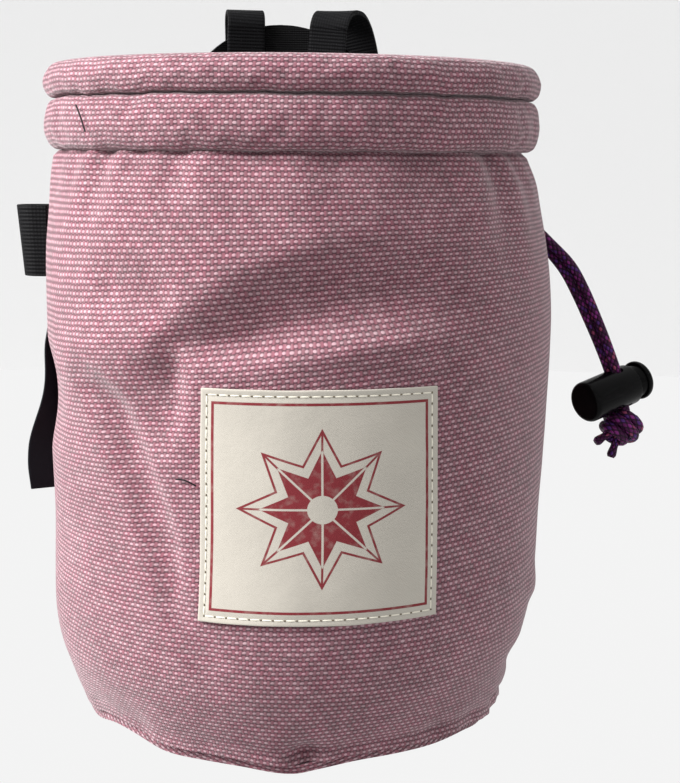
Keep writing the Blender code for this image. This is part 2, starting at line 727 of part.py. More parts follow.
def toggle_barrel(plastic):
    """The lock's barrel: bored from its mouth, closed at the other end, and slotted for the cord."""
    frame = lock_frame()
    outer = BARREL_DIAMETER / 2
    bore = BORE_DIAMETER / 2
    mouth = -BARREL_MOUTH
    closed = BARREL_LENGTH - BARREL_MOUTH
    profile = ((outer - 2 * EDGE_ROUND, closed), (outer - 0.6 * EDGE_ROUND, closed - 0.6 * EDGE_ROUND),
               (outer, closed - 2 * EDGE_ROUND), (outer, mouth + EDGE_ROUND), (outer - EDGE_ROUND / 3, mouth),
               (bore, mouth), (bore, closed - BARREL_FLOOR))
    made = turned("toggle_barrel", profile, 24, plastic)
    made.matrix_world = frame
    slot = CORD_DIAMETER / 2 + 2 * GAP
    cut(made, slot_cutter("barrel_slot", frame, -slot, slot))
    return made


def toggle_plunger(plastic):
    """The plunger: its button stands out of the mouth, and its slot is longer by the travel."""
    frame = lock_frame()
    radius = BORE_DIAMETER / 2 - PLUNGER_CLEARANCE
    slot = CORD_DIAMETER / 2 + 2 * GAP
    button = -BARREL_MOUTH - PLUNGER_REACH
    profile = ((radius - 2 * EDGE_ROUND, button), (radius - 0.6 * EDGE_ROUND, button + 0.5 * EDGE_ROUND),
               (radius, button + 2 * EDGE_ROUND), (radius, slot + PLUNGER_END))
    made = turned("toggle_plunger", profile, 24, plastic)
    made.matrix_world = frame
    cut(made, slot_cutter("plunger_slot", frame, -slot - PLUNGER_TRAVEL, slot))
    return made


def cord_knot(cord):
    """The knot under the lock, with the cord's two short ends."""
    around = 20
    rows = 9
    tall = KNOT_HEIGHT_SHARE * KNOT_RADIUS
    end = cord_exit() + Vector(CORD_ROUTE[-1][:3])
    centre = end - Vector((0.0, 0.0, 2 * GAP + tall * math.cos(math.pi / rows)))
    rings = []
    for row in range(1, rows):
        tilt = math.pi * row / rows
        ring = []
        for step in range(around):
            turn = 2 * math.pi * step / around
            rope = 1.0 - KNOT_GROOVE_SHARE * math.sin(tilt) * (0.5 + 0.5 * math.cos(3 * turn + 4 * tilt))
            ring.append(Vector((
                KNOT_LENGTH_SHARE * KNOT_RADIUS * rope * math.sin(tilt) * math.cos(turn),
                KNOT_DEPTH_SHARE * KNOT_RADIUS * rope * math.sin(tilt) * math.sin(turn),
                tall * math.cos(tilt))))
        rings.append(ring)
    made = loft("cord_knot", rings, cord)
    made.location = centre
    for name, direction in KNOT_TAILS:
        length = KNOT_RADIUS + KNOT_TAIL
        radius = CORD_DIAMETER / 2
        tail = turned(name, ((radius, 0.35 * KNOT_RADIUS), (radius, length - 0.3 * radius),
                             (0.7 * radius, length)), 8, cord)
        tail.matrix_world = axis_frame(centre, direction, (1.0, 0.0, 0.0))
        tail.hide_render = True
        tail.display_type = "WIRE"
        cut(made, tail, "UNION")
    return made


def build():
    for old in list(bpy.data.objects):
        bpy.data.objects.remove(old, do_unlink=True)
    weave = material("pink_weave", (0.52, 0.29, 0.34), 0.85)
    fleece = material("black_fleece", (0.02, 0.02, 0.022), 0.95)
    cotton = material("cream_cotton", (0.80, 0.75, 0.64), 0.80)
    webbing = material("black_webbing", (0.014, 0.014, 0.016), 0.70)
    satin = material("black_satin", (0.012, 0.014, 0.020), 0.40)
    cord = material("plum_cord", (0.12, 0.02, 0.09), 0.60)
    plastic = material("black_plastic", (0.01, 0.01, 0.011), 0.35)
    metal = material("black_eyelet", (0.03, 0.03, 0.03), 0.45, 1.0)

    body_shell(weave)
    seam = WALL_HEIGHT + LOWER_ROLL_HEIGHT
    roll("rim_lower_roll", LOWER_ROLL_SECTION, WALL_HEIGHT + GAP / 2, LOWER_ROLL_HEIGHT - GAP, weave)
    roll("rim_top_roll", TOP_ROLL_SECTION, seam + GAP / 2, TOP_ROLL_HEIGHT - GAP / 2, weave)
    base_disc(weave)
    lining(fleece)
    front_label(cotton)
    brush_loop(webbing)
    side_label(satin)
    for name, azimuth, skew in BELT_LOOPS:
        belt_loop(name, azimuth, skew, webbing)
    back_tab(webbing)
    cord_eyelet(metal)
    cord_strand("cord_strand_a", -1, cord)
    cord_strand("cord_strand_b", 1, cord)
    toggle_barrel(plastic)
    toggle_plunger(plastic)
    cord_knot(cord)


build()
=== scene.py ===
"""Climbing chalk bag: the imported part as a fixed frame, dressed with woven cloth, webbing, cord and plastic.

Everything is in metres. An azimuth is counted in degrees from the front (-Y), and grows towards +X.
"""

import math

import bmesh
import bpy
from mathutils import Matrix, Vector, noise


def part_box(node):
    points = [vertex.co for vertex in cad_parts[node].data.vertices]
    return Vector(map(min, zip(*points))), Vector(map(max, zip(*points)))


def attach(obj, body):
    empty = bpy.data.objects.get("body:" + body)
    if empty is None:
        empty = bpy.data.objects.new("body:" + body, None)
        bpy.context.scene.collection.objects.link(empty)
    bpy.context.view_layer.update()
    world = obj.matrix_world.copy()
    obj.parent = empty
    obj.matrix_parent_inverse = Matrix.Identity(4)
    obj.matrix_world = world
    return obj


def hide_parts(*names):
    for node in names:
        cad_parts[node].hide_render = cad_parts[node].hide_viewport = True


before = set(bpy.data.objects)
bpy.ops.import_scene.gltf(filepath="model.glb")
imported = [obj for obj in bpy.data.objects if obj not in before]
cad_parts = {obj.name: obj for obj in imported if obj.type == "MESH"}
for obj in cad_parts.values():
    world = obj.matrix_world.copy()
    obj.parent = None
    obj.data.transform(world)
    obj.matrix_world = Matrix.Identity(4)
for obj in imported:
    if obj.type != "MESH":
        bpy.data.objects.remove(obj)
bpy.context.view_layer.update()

MM = 0.001
GAP = 0.0003

# The photograph's camera
CAMERA_PLACE = (0.0, -0.366, 0.135)
CAMERA_TURN = 1.885
CAMERA_PITCH = 8.96
CAMERA_ROLL = 0.4
CAMERA_LENS = 69.83

# Sizes of the bag, as in the part's source
WALL_HEIGHT = 0.135
BODY_RADIUS = 0.060
WALL_THICKNESS = 0.0016
BASE_RADIUS = 0.0496
BASE_THICKNESS = 0.0020
LOWER_ROLL_HEIGHT = 0.0117
TOP_ROLL_HEIGHT = 0.0080
ROLL_RADIUS = 0.0580
ROLL_THICKNESS = 0.0075
ROLL_SHIFT = 0.0005
FOLD_DEPTH = 0.0050
PATCH_WIDTH = 0.0490
PATCH_FLARE = 0.0020
PATCH_HEIGHT = 0.0498
PATCH_AZIMUTH = 4.4
PATCH_BOTTOM = 0.0372
PATCH_THICKNESS = 0.0008
BRUSH_AZIMUTH = -98.0
BRUSH_WEBBING_WIDTH = 0.0172
BRUSH_WEBBING_THICKNESS = 0.0012
BRUSH_LOOP_GAP = 0.0062
BRUSH_LOOP_REACH = 0.0072
BRUSH_LOOP_BOTTOM = 0.1047
BRUSH_LOOP_LEAN = 0.0007
RIBBON_LENGTH = 0.0540
RIBBON_WIDTH = 0.0128
RIBBON_STANDOFF = 0.0096
BELT_WEBBING_WIDTH = 0.0102
BELT_WEBBING_THICKNESS = 0.0013
BELT_LOOP_TOP = 0.1735
BELT_LOOP_BOTTOM = 0.1090
BELT_LOOP_SPREAD = 0.0130
BELT_LEG_SEAT = 0.0603
TAB_SEAT = 0.0621
TAB_RADIUS = 0.0280
TAB_THICKNESS = 0.0018
TAB_TOP = 0.1694
TAB_BOTTOM = 0.0960
TAB_AZIMUTH = 183.0
CORD_DIAMETER = 0.0022
CORD_PITCH = 0.00255
CORD_EXIT = (0.0587, 0.0153, 0.1165)
LOCK_AXIS = (-0.811, -0.540, -0.225)
LOCK_POINT = 8

# Wall sections from the base up, in shares: height, radius, sideways shift
WALL_SECTIONS = (
    (0.000, 0.840, 0.008), (0.048, 0.877, 0.006), (0.089, 0.905, 0.006), (0.163, 0.952, 0.010),
    (0.237, 0.974, 0.020), (0.385, 0.978, 0.032), (0.533, 0.993, 0.035), (0.711, 1.003, 0.037),
    (0.852, 0.985, 0.026), (0.953, 0.952, 0.018), (1.000, 0.928, 0.010),
)
SWELL = (4.0, 0.30, 0.36, 0.75, 0.62)

# Folds: reach above and below the route, and the route's azimuth, height share and depth share
FOLDS = (
    (0.24, 0.16, ((-37, 0.550, 0.15), (-29, 0.605, 0.60), (-19, 0.675, 1.10), (-7, 0.735, 1.35),
                  (8, 0.772, 1.30), (22, 0.785, 0.95), (38, 0.780, 0.25))),
    (0.17, 0.23, ((-8, 0.655, -0.10), (6, 0.680, -0.27), (18, 0.690, -0.35), (32, 0.690, -0.24),
                  (50, 0.670, -0.04))),
    (0.20, 0.18, ((-62, 0.66, -0.20), (-48, 0.68, -0.45), (-36, 0.70, -0.30))),
    (0.12, 0.12, ((-50, 0.640, 0.24), (-43, 0.585, 0.66), (-36, 0.490, 0.64), (-29, 0.375, 0.56),
                  (-21, 0.250, 0.30), (-16, 0.180, 0.06))),
    (0.14, 0.14, ((-42, 0.790, 0.30), (-32, 0.780, 0.34))),
    (0.22, 0.25, ((-96, 0.560, 0.34), (-84, 0.585, 0.56), (-72, 0.600, 0.26))),
    (0.12, 0.07, ((72, 0.250, -0.08), (86, 0.215, -0.24), (104, 0.200, -0.26), (118, 0.210, -0.05))),
    (0.07, 0.12, ((66, 0.125, 0.10), (84, 0.115, 0.40), (104, 0.105, 0.30), (118, 0.105, 0.05))),
)

# Gathers under the mouth: azimuth, depth and length in millimetres, half width and lean in degrees
GATHERS = (
    (-168, 0.6, 14, 4.0, 1.0), (-152, 0.7, 16, 3.6, -1.0), (-137, 0.5, 12, 4.0, 1.5), (-121, 0.7, 17, 3.6, 0.5),
    (-104, 0.5, 12, 4.0, -1.0), (-88, 0.7, 15, 3.6, -1.5), (-70, 0.6, 14, 3.4, -1.5), (-58, 0.5, 11, 2.6, -1.5),
    (-46.5, 1.2, 17, 2.4, -4.5), (-36, 0.4, 9, 2.2, -1.0), (-26, 0.8, 12, 2.3, -1.0), (-9, 0.6, 15, 4.2, -1.0),
    (8, 0.5, 12, 3.8, 0.5), (29, 0.6, 14, 4.2, 1.0), (50.5, 1.1, 26, 2.8, 0.5), (62, 0.6, 14, 2.6, 2.5),
    (76, 0.6, 15, 3.4, 1.0), (92, 0.6, 14, 3.8, 0.5), (108, 0.7, 16, 3.6, -1.0), (124, 0.5, 12, 4.0, 1.0),
    (139, 0.7, 15, 3.6, -0.5), (155, 0.5, 13, 4.0, 0.5), (171, 0.6, 15, 3.8, -1.0),
)
# How far the base seam creeps up off the ground: azimuth and rise in millimetres
SEAM_RISE = (
    (-180, 1.5), (-125, 1.9), (-85, 2.2), (-66, 2.4), (-54, 4.1), (-45, 3.8), (-34, 2.0), (-22, 1.8),
    (-12, 1.3), (-3, 0.2), (2, 0.1), (7, 0.9), (17, 2.1), (28, 2.2), (40, 1.9), (54, 1.7), (63, 0.9),
    (80, 1.0), (125, 1.7), (180, 1.5),
)
# Puckers above the base seam: azimuth, depth and length in millimetres, half width in degrees
BASE_PUCKERS = (
    (-172, 0.6, 9, 3.5), (-150, 0.5, 8, 3.5), (-128, 0.7, 10, 3.2), (-104, 0.5, 8, 3.5), (-82, 0.6, 9, 3.0),
    (-60, 0.5, 8, 3.0), (-41, 0.5, 9, 2.8), (-22, 0.5, 8, 2.6), (3.5, 2.3, 10, 2.8), (12, 0.7, 6, 3.0),
    (24, 0.6, 8, 3.0), (38, 0.7, 9, 2.8), (53, 0.6, 8, 3.0), (70, 0.7, 10, 3.0), (92, 0.6, 9, 3.5),
    (113, 0.6, 9, 3.5), (135, 0.7, 9, 3.5), (158, 0.6, 8, 3.5),
)


# Small helpers
def smooth_row(rows, share):
    """Every column of a table at one share of its first column, on a smooth curve through the rows."""
    last = len(rows) - 1
    share = min(max(share, rows[0][0]), rows[last][0])
    index = 0
    while index < last - 1 and rows[index + 1][0] < share:
        index += 1
    before = rows[max(index - 1, 0)]
    low = rows[index]
    high = rows[index + 1]
    after = rows[min(index + 2, last)]
    span = high[0] - low[0]
    t = (share - low[0]) / span
    values = []
    for column in range(1, len(low)):
        slope_low = (high[column] - before[column]) / (high[0] - before[0]) * span
        slope_high = (after[column] - low[column]) / (after[0] - low[0]) * span
        values.append((2 * t**3 - 3 * t**2 + 1) * low[column] + (t**3 - 2 * t**2 + t) * slope_low
                      + (3 * t**2 - 2 * t**3) * high[column] + (t**3 - t**2) * slope_high)
    return values


def fade(value, start, end):
    t = min(max((value - start) / (end - start), 0.0), 1.0)
    return t * t * (3 - 2 * t)


def wrap(angle):
    return (angle + 180.0) % 360.0 - 180.0


def outward(azimuth):
    angle = math.radians(azimuth)
    return Vector((math.sin(angle), -math.cos(angle), 0.0))


def sideways(azimuth):
    angle = math.radians(azimuth)
    return Vector((math.cos(angle), math.sin(angle), 0.0))


def smooth_path(points, steps):
    path = []
    last = len(points) - 1
    for index in range(last):
        before = points[max(index - 1, 0)]
        low = points[index]
        high = points[index + 1]
        after = points[min(index + 2, last)]
        for step in range(steps):
            t = step / steps
            path.append(0.5 * (2 * low + (high - before) * t
                               + (2 * before - 5 * low + 4 * high - after) * t**2
                               + (3 * low - before - 3 * high + after) * t**3))
    path.append(points[last].copy())
    return path


def ripple(place, size, seed):
    """Smooth noise between -1 and 1, with bumps of about the given size."""
    return noise.noise(Vector(place) / size + Vector((seed, 2.7 * seed, -1.3 * seed)))


# The wall's form
def fold_depth(fold, azimuth, height):
    above, below, route = fold
    best = None
    for start, end in zip(route, route[1:]):
        across = math.radians(wrap(end[0] - start[0])) * BODY_RADIUS
        up = (end[1] - start[1]) * WALL_HEIGHT
        place_across = math.radians(wrap(azimuth - start[0])) * BODY_RADIUS
        place_up = height - start[1] * WALL_HEIGHT
        t = min(max((place_across * across + place_up * up) / (across * across + up * up), 0.0), 1.0)
        away = math.hypot(place_across - t * across, place_up - t * up)
        if best is None or away < best[0]:
            best = (away, place_up - t * up, start[2] + t * (end[2] - start[2]))
    away, rise, depth = best
    lean = 0.5 + 0.5 * (rise / away if away > 0.0 else 0.0)
    reach = (below + (above - below) * lean) * BODY_RADIUS
    return 0.0 if away >= reach else depth * FOLD_DEPTH * (1 - (away / reach) ** 2) ** 2


def patch_calm(azimuth, height):
    across = abs(math.radians(wrap(azimuth - PATCH_AZIMUTH))) * BODY_RADIUS - PATCH_WIDTH / 2
    up = abs(height - PATCH_BOTTOM - PATCH_HEIGHT / 2) - PATCH_HEIGHT / 2
    return fade(max(across, up), 0.003, 0.010)


def section(height):
    radius, shift = smooth_row(WALL_SECTIONS, height / WALL_HEIGHT)
    return radius * BODY_RADIUS, shift * BODY_RADIUS


def wall_radius(azimuth, height):
    """The wall's outer face with its folds, gathers and puckers."""
    middle, level, depth, around, up = SWELL
    across = math.radians(wrap(azimuth - middle)) / around
    rise = (height - level * WALL_HEIGHT) / (up * BODY_RADIUS)
    radius = section(height)[0] + depth * FOLD_DEPTH * math.exp(-2 * (across**2 + rise**2))
    calm = patch_calm(azimuth, height)
    radius -= calm * sum(fold_depth(fold, azimuth, height) for fold in FOLDS)
    below = (WALL_HEIGHT - height) / MM
    for at, deep, length, half, lean in GATHERS:
        if below < length * 1.6:
            off = wrap(azimuth - at - lean * below / length) / (1.35 * half * (1 + 0.5 * below / length))
            radius -= 1.35 * deep * MM * math.exp(-off * off) * (1 - fade(below, 0.2 * length, 1.6 * length))
            radius += 0.6 * deep * MM * math.exp(-(abs(off) - 1.7) ** 2) * (1 - fade(below, 0.0, 1.2 * length))
    over = height / MM
    for at, deep, length, half in BASE_PUCKERS:
        if over < length * 1.5:
            off = wrap(azimuth - at) / (half * (1 + 0.5 * over / length))
            radius -= deep * MM * math.exp(-off * off) * (1 - fade(over, 0.0, 1.5 * length))
    return radius


def seam_rise(azimuth, radius, height):
    """How far the lower edge is lifted here: not at all under the middle of the base or high up the wall."""
    rise = smooth_row(SEAM_RISE, wrap(azimuth))[0] * MM
    outer = fade(radius, 0.70 * BASE_RADIUS, 0.98 * BASE_RADIUS)
    return rise * outer * (1 - fade(height, 2 * MM, 20 * MM))


def place(azimuth, radius, height):
    shift = section(height)[1]
    angle = math.radians(azimuth)
    return Vector((shift + radius * math.sin(angle), -radius * math.cos(angle), height))


def wall_point(azimuth, height):
    """A point on the wall, with the cloth's small unevenness."""
    radius = wall_radius(azimuth, height)
    spot = place(azimuth, radius, height)
    calm = 0.35 + 0.65 * patch_calm(azimuth, height)
    radius += calm * (0.28 * MM * ripple(spot, 0.022, 1.0) + 0.09 * MM * ripple(spot, 0.009, 2.0))
    tuck = fade(height, WALL_HEIGHT - 1.6 * MM, WALL_HEIGHT + 0.2 * MM)
    pinch = 0.6 + 0.4 * math.sin(math.radians(azimuth))
    radius -= 1.2 * MM * tuck * tuck + 1.3 * MM * pinch * fade(height, WALL_HEIGHT - 9 * MM, WALL_HEIGHT)
    ridge = math.exp(-((height - 2.6 * MM) / (1.0 * MM)) ** 2)
    crease = math.exp(-((height - 5.4 * MM) / (1.2 * MM)) ** 2)
    lumps = 0.5 + 0.9 * ripple(outward(azimuth) * 0.05, 0.0032, 4.0)
    dimple = math.exp(-(wrap(azimuth - 2.5) / 4.0) ** 2 - ((height - 5.5 * MM) / (2.4 * MM)) ** 2)
    radius -= 2.4 * MM * dimple
    right = 0.5 + 0.5 * math.sin(math.radians(wrap(azimuth + 15)))
    radius += right * (0.95 * MM * ridge * lumps - 1.1 * MM * crease * (0.7 + 0.5 * ripple(spot, 0.008, 5.0)))
    return place(azimuth, radius, height) + Vector((0, 0, seam_rise(azimuth, radius, height)))


# Making pieces
def deselect():
    if bpy.context.object and bpy.context.object.mode != "OBJECT":
        bpy.ops.object.mode_set(mode="OBJECT")
    bpy.ops.object.select_all(action="DESELECT")


def apply_modifiers(piece):
    deselect()
    bpy.context.view_layer.objects.active = piece
    piece.select_set(True)
    for modifier in list(piece.modifiers):
        bpy.ops.object.modifier_apply(modifier=modifier.name)
    deselect()


def write_cloth_map(piece, shares, flat, closed):
    """Gives the piece a UV map in metres on the flat cloth. shares is each vertex's place on the cloth."""
    layer = piece.data.uv_layers.get("cloth") or piece.data.uv_layers.new(name="cloth")
    for other in [item for item in piece.data.uv_layers if item.name != "cloth"]:
        piece.data.uv_layers.remove(other)
    layer = piece.data.uv_layers["cloth"]
    for face in piece.data.polygons:
        turns = [shares[piece.data.loops[index].vertex_index][0] for index in face.loop_indices]
        wraps = closed and max(turns) - min(turns) > 0.5
        for index in face.loop_indices:
            turn, along = shares[piece.data.loops[index].vertex_index]
            if wraps and turn < 0.5:
                turn += 1.0
            layer.data[index].uv = flat(turn, along)


def cloth_tube(name, columns, rows, point, flat):
    """An open tube: a cylinder cut into rows, with each vertex moved to point(azimuth, share up)."""
    deselect()
    bpy.ops.mesh.primitive_cylinder_add(vertices=columns, radius=1.0, depth=1.0, end_fill_type="NOTHING")
    piece = bpy.context.object
    piece.name = piece.data.name = name
    bpy.ops.object.mode_set(mode="EDIT")
    mesh = bmesh.from_edit_mesh(piece.data)
    for edge in mesh.edges:
        edge.select = abs(edge.verts[0].co.z - edge.verts[1].co.z) > 0.5
    mesh.select_flush(False)
    bmesh.update_edit_mesh(piece.data)
    bpy.ops.mesh.select_mode(type="EDGE")
    bpy.ops.mesh.subdivide(number_cuts=rows - 1)
    bpy.ops.object.mode_set(mode="OBJECT")
    shares = []
    for vertex in piece.data.vertices:
        azimuth = math.degrees(math.atan2(vertex.co.x, -vertex.co.y))
        along = min(max(vertex.co.z + 0.5, 0.0), 1.0)
        shares.append(((azimuth + 180.0) / 360.0 % 1.0, along))
        vertex.co = point(azimuth, along)
    write_cloth_map(piece, shares, flat, True)
    return piece


def cloth_strip(name, columns, rows, point, flat):
    """A flat grid with each vertex moved to point(share across, share along)."""
    deselect()
    bpy.ops.mesh.primitive_grid_add(x_subdivisions=columns, y_subdivisions=rows, size=1.0)
    piece = bpy.context.object
    piece.name = piece.data.name = name
    shares = []
    for vertex in piece.data.vertices:
        across = min(max(vertex.co.x + 0.5, 0.0), 1.0)
        along = min(max(vertex.co.y + 0.5, 0.0), 1.0)
        shares.append((across, along))
        vertex.co = point(across, along)
    write_cloth_map(piece, shares, flat, False)
    return piece


def mend_normals(piece):
    deselect()
    bpy.context.view_layer.objects.active = piece
    piece.select_set(True)
    bpy.ops.object.mode_set(mode="EDIT")
    bpy.ops.mesh.select_all(action="SELECT")
    bpy.ops.mesh.remove_doubles(threshold=1e-6)
    bpy.ops.mesh.normals_make_consistent(inside=False)
    bpy.ops.object.mode_set(mode="OBJECT")
    deselect()


def thicken(piece, thickness, offset, round_edge=0.0, segments=2):
    """Gives a sheet its thickness, and rounds its cut edges."""
    solid = piece.modifiers.new("thickness", "SOLIDIFY")
    solid.thickness = thickness
    solid.offset = offset
    solid.use_even_offset = True
    if round_edge:
        bevel = piece.modifiers.new("edge", "BEVEL")
        bevel.width = round_edge
        bevel.segments = segments
        bevel.limit_method = "ANGLE"
        bevel.angle_limit = math.radians(50)
    apply_modifiers(piece)
    return piece


def dress(piece, finish, body, nodes):
    """Shades a piece smooth, gives it its material, and lets it ride on its body and stand for its nodes."""
    deselect()
    bpy.context.view_layer.objects.active = piece
    piece.select_set(True)
    bpy.ops.object.shade_smooth_by_angle(angle=math.radians(45))
    deselect()
    piece.data.materials.clear()
    piece.data.materials.append(finish)
    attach(piece, body)
    if nodes:
        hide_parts(*nodes)
    return piece


# Materials
MATH = "ShaderNodeMath"


def linear(code, strength=1.0):
    """A linear colour from an sRGB hex code."""
    parts = [int(code[i:i + 2], 16) / 255.0 for i in (1, 3, 5)]
    values = [p / 12.92 if p <= 0.04045 else ((p + 0.055) / 1.055) ** 2.4 for p in parts]
    return (*[v * strength for v in values], 1.0)


def add(tree, kind, sockets=(), **settings):
    """Adds a node. settings are its own properties, and sockets are given by name or in order.

    A socket is given a value, or what feeds it: another socket, or a node, whose first output is meant.
    """
    node = tree.nodes.new(kind)
    for key, value in settings.items():
        setattr(node, key, value)
    named = sockets if isinstance(sockets, dict) else dict(enumerate(sockets))
    for key, value in named.items():
        if isinstance(value, bpy.types.Node):
            value = value.outputs[0]
        if isinstance(value, bpy.types.NodeSocket):
            tree.links.new(value, node.inputs[key])
        else:
            node.inputs[key].default_value = value
    return node


def new_material(name, **shader_values):
    made = bpy.data.materials.new(name)
    made.use_nodes = True
    tree = made.node_tree
    shader = tree.nodes["Principled BSDF"]
    for key, value in shader_values.items():
        shader.inputs[key.replace("_", " ").title().replace("Ior", "IOR")].default_value = value
    return made, tree, shader


def woven_finish(name, pitch, row, pale, deep, shade, relief, pale_size):
    """Woven polyester: pale floats in brick-offset rows over deeper crossings, with dark gaps between them.

    The two kinds of dome give the close dots of light and shade that the eye reads as a coarse weave.
    """
    made, tree, shader = new_material(name, roughness=0.85, sheen_weight=0.25, sheen_roughness=0.45,
                                      specular_ior_level=0.25)
    uv = add(tree, "ShaderNodeUVMap", uv_map="cloth")
    wobble = add(tree, "ShaderNodeTexNoise", {"Vector": uv, "Scale": 320.0, "Detail": 2.0}).outputs["Color"]
    centred = add(tree, "ShaderNodeVectorMath", {0: wobble, 1: (0.5, 0.5, 0.5)}, operation="SUBTRACT")
    shifted = add(tree, "ShaderNodeVectorMath", {0: centred, 1: (pitch * 0.5, row * 0.4, 0), 2: uv},
                  operation="MULTIPLY_ADD")
    part = add(tree, "ShaderNodeSeparateXYZ", {0: shifted})
    # The weave's cells: the result, the sum, and its values or earlier results
    found = {"x": part.outputs["X"], "y": part.outputs["Y"]}
    for result, operation, *values in (
        ("rows", "DIVIDE", "y", row),
        ("row_number", "FLOOR", "rows"),
        ("row_size", "ABSOLUTE", "row_number"),
        ("odd_row", "MODULO", "row_size", 2.0),
        ("slide", "MULTIPLY", "odd_row", 0.5),
        ("even_columns", "DIVIDE", "x", pitch),
        ("columns", "ADD", "even_columns", "slide"),
        ("column_number", "FLOOR", "columns"),
        ("column_part", "FRACT", "columns"),
        ("across", "SUBTRACT", "column_part", 0.5),
        ("row_part", "FRACT", "rows"),
        ("up", "SUBTRACT", "row_part", 0.5),
        ("up_share", "DIVIDE", "up", pale_size[1]),
        ("up_square", "MULTIPLY", "up_share", "up_share"),
        ("float_share", "DIVIDE", "across", pale_size[0]),
        ("float_size", "ABSOLUTE", "float_share"),
        ("float_power", "POWER", "float_size", 2.4),
        ("float_fall", "ADD", "float_power", "up_square"),
        ("float_dome", "SUBTRACT", 1.0, "float_fall"),
        ("across_size", "ABSOLUTE", "across"),
        ("cross", "SUBTRACT", 0.5, "across_size"),
        ("cross_share", "DIVIDE", "cross", 0.5 - pale_size[0] * 0.75),
        ("cross_square", "MULTIPLY", "cross_share", "cross_share"),
        ("cross_up", "MULTIPLY", "up_square", (pale_size[1] / 0.60) ** 2),
        ("cross_fall", "ADD", "cross_square", "cross_up"),
        ("cross_dome", "SUBTRACT", 1.0, "cross_fall"),
    ):
        found[result] = add(tree, MATH, [found.get(value, value) for value in values], operation=operation)
    for result, source, low, high in (("float_mask", "float_dome", -0.35, 0.85),
                                      ("cross_mask", "cross_dome", -0.4, 0.7)):
        found[result] = add(tree, "ShaderNodeMapRange", {"Value": found[source], 1: low, 2: high},
                            interpolation_type="SMOOTHSTEP")
    cell = add(tree, "ShaderNodeCombineXYZ", (found["column_number"], found["row_number"]))
    slub_place = add(tree, "ShaderNodeMapping", {"Vector": uv, "Scale": (90.0, 800.0, 1.0)})
    found["random"] = add(tree, "ShaderNodeTexWhiteNoise", {"Vector": cell},
                          noise_dimensions="2D").outputs["Value"]
    found["broad"] = add(tree, "ShaderNodeTexNoise", {"Vector": uv, "Scale": 55.0, "Detail": 2.0})
    found["slub"] = add(tree, "ShaderNodeTexNoise", {"Vector": slub_place, "Scale": 1.0, "Detail": 2.0})
    found["fuzz"] = add(tree, "ShaderNodeTexNoise", {"Vector": uv, "Scale": 3500.0, "Detail": 2.0})
    # Uneven threads and the height of the weave, in the same columns
    for result, operation, *values in (
        ("random_side", "SUBTRACT", "random", 0.5),
        ("random_tone", "MULTIPLY", "random_side", 0.34),
        ("drift", "ADD", "broad", "slub"),
        ("drift_side", "SUBTRACT", "drift", 1.0),
        ("drift_tone", "MULTIPLY", "drift_side", 0.30),
        ("tone", "ADD", "random_tone", "drift_tone"),
        ("value", "ADD", 1.0, "tone"),
        ("spread", "MULTIPLY", "random", 7.3),
        ("spread_part", "FRACT", "spread"),
        ("warmth", "MULTIPLY_ADD", "spread_part", 0.22, 0.86),
        ("cross_height", "MULTIPLY", "cross_mask", 0.45),
        ("height", "MAXIMUM", "float_mask", "cross_height"),
        ("fuzz_height", "MULTIPLY", "fuzz", 0.25),
        ("relief", "ADD", "height", "fuzz_height"),
    ):
        found[result] = add(tree, MATH, [found.get(value, value) for value in values], operation=operation)
    ground = add(tree, "ShaderNodeMix", {0: found["cross_mask"], 6: linear(shade), 7: linear(deep)},
                 data_type="RGBA")
    thread = add(tree, "ShaderNodeMix", {0: found["float_mask"], 6: ground.outputs[2], 7: linear(pale)},
                 data_type="RGBA")
    toned = add(tree, "ShaderNodeHueSaturation",
                {"Value": found["value"], "Saturation": found["warmth"], "Color": thread.outputs[2]})
    bump = add(tree, "ShaderNodeBump", {"Strength": 1.0, "Distance": relief, "Height": found["relief"]})
    tree.links.new(toned.outputs[0], shader.inputs["Base Color"])
    tree.links.new(bump.outputs[0], shader.inputs["Normal"])
    return made


def fleece_finish():
    """Brushed polyester fleece: black, soft and dull, with a nap of short fibres that catches edge light."""
    made, tree, shader = new_material("brushed_fleece", roughness=0.95, specular_ior_level=0.05,
                                      sheen_weight=0.06, sheen_roughness=0.5)
    uv = add(tree, "ShaderNodeUVMap", uv_map="cloth").outputs[0]
    nap = add(tree, "ShaderNodeTexNoise", {"Vector": uv, "Scale": 900.0, "Detail": 4.0}).outputs[0]
    ramp = add(tree, "ShaderNodeMix", {0: nap, 6: linear("#050505"), 7: linear("#19191a")}, data_type="RGBA")
    bump = add(tree, "ShaderNodeBump", {"Strength": 0.9, "Distance": 0.0006, "Height": nap})
    tree.links.new(ramp.outputs[2], shader.inputs["Base Color"])
    tree.links.new(bump.outputs[0], shader.inputs["Normal"])
    return made


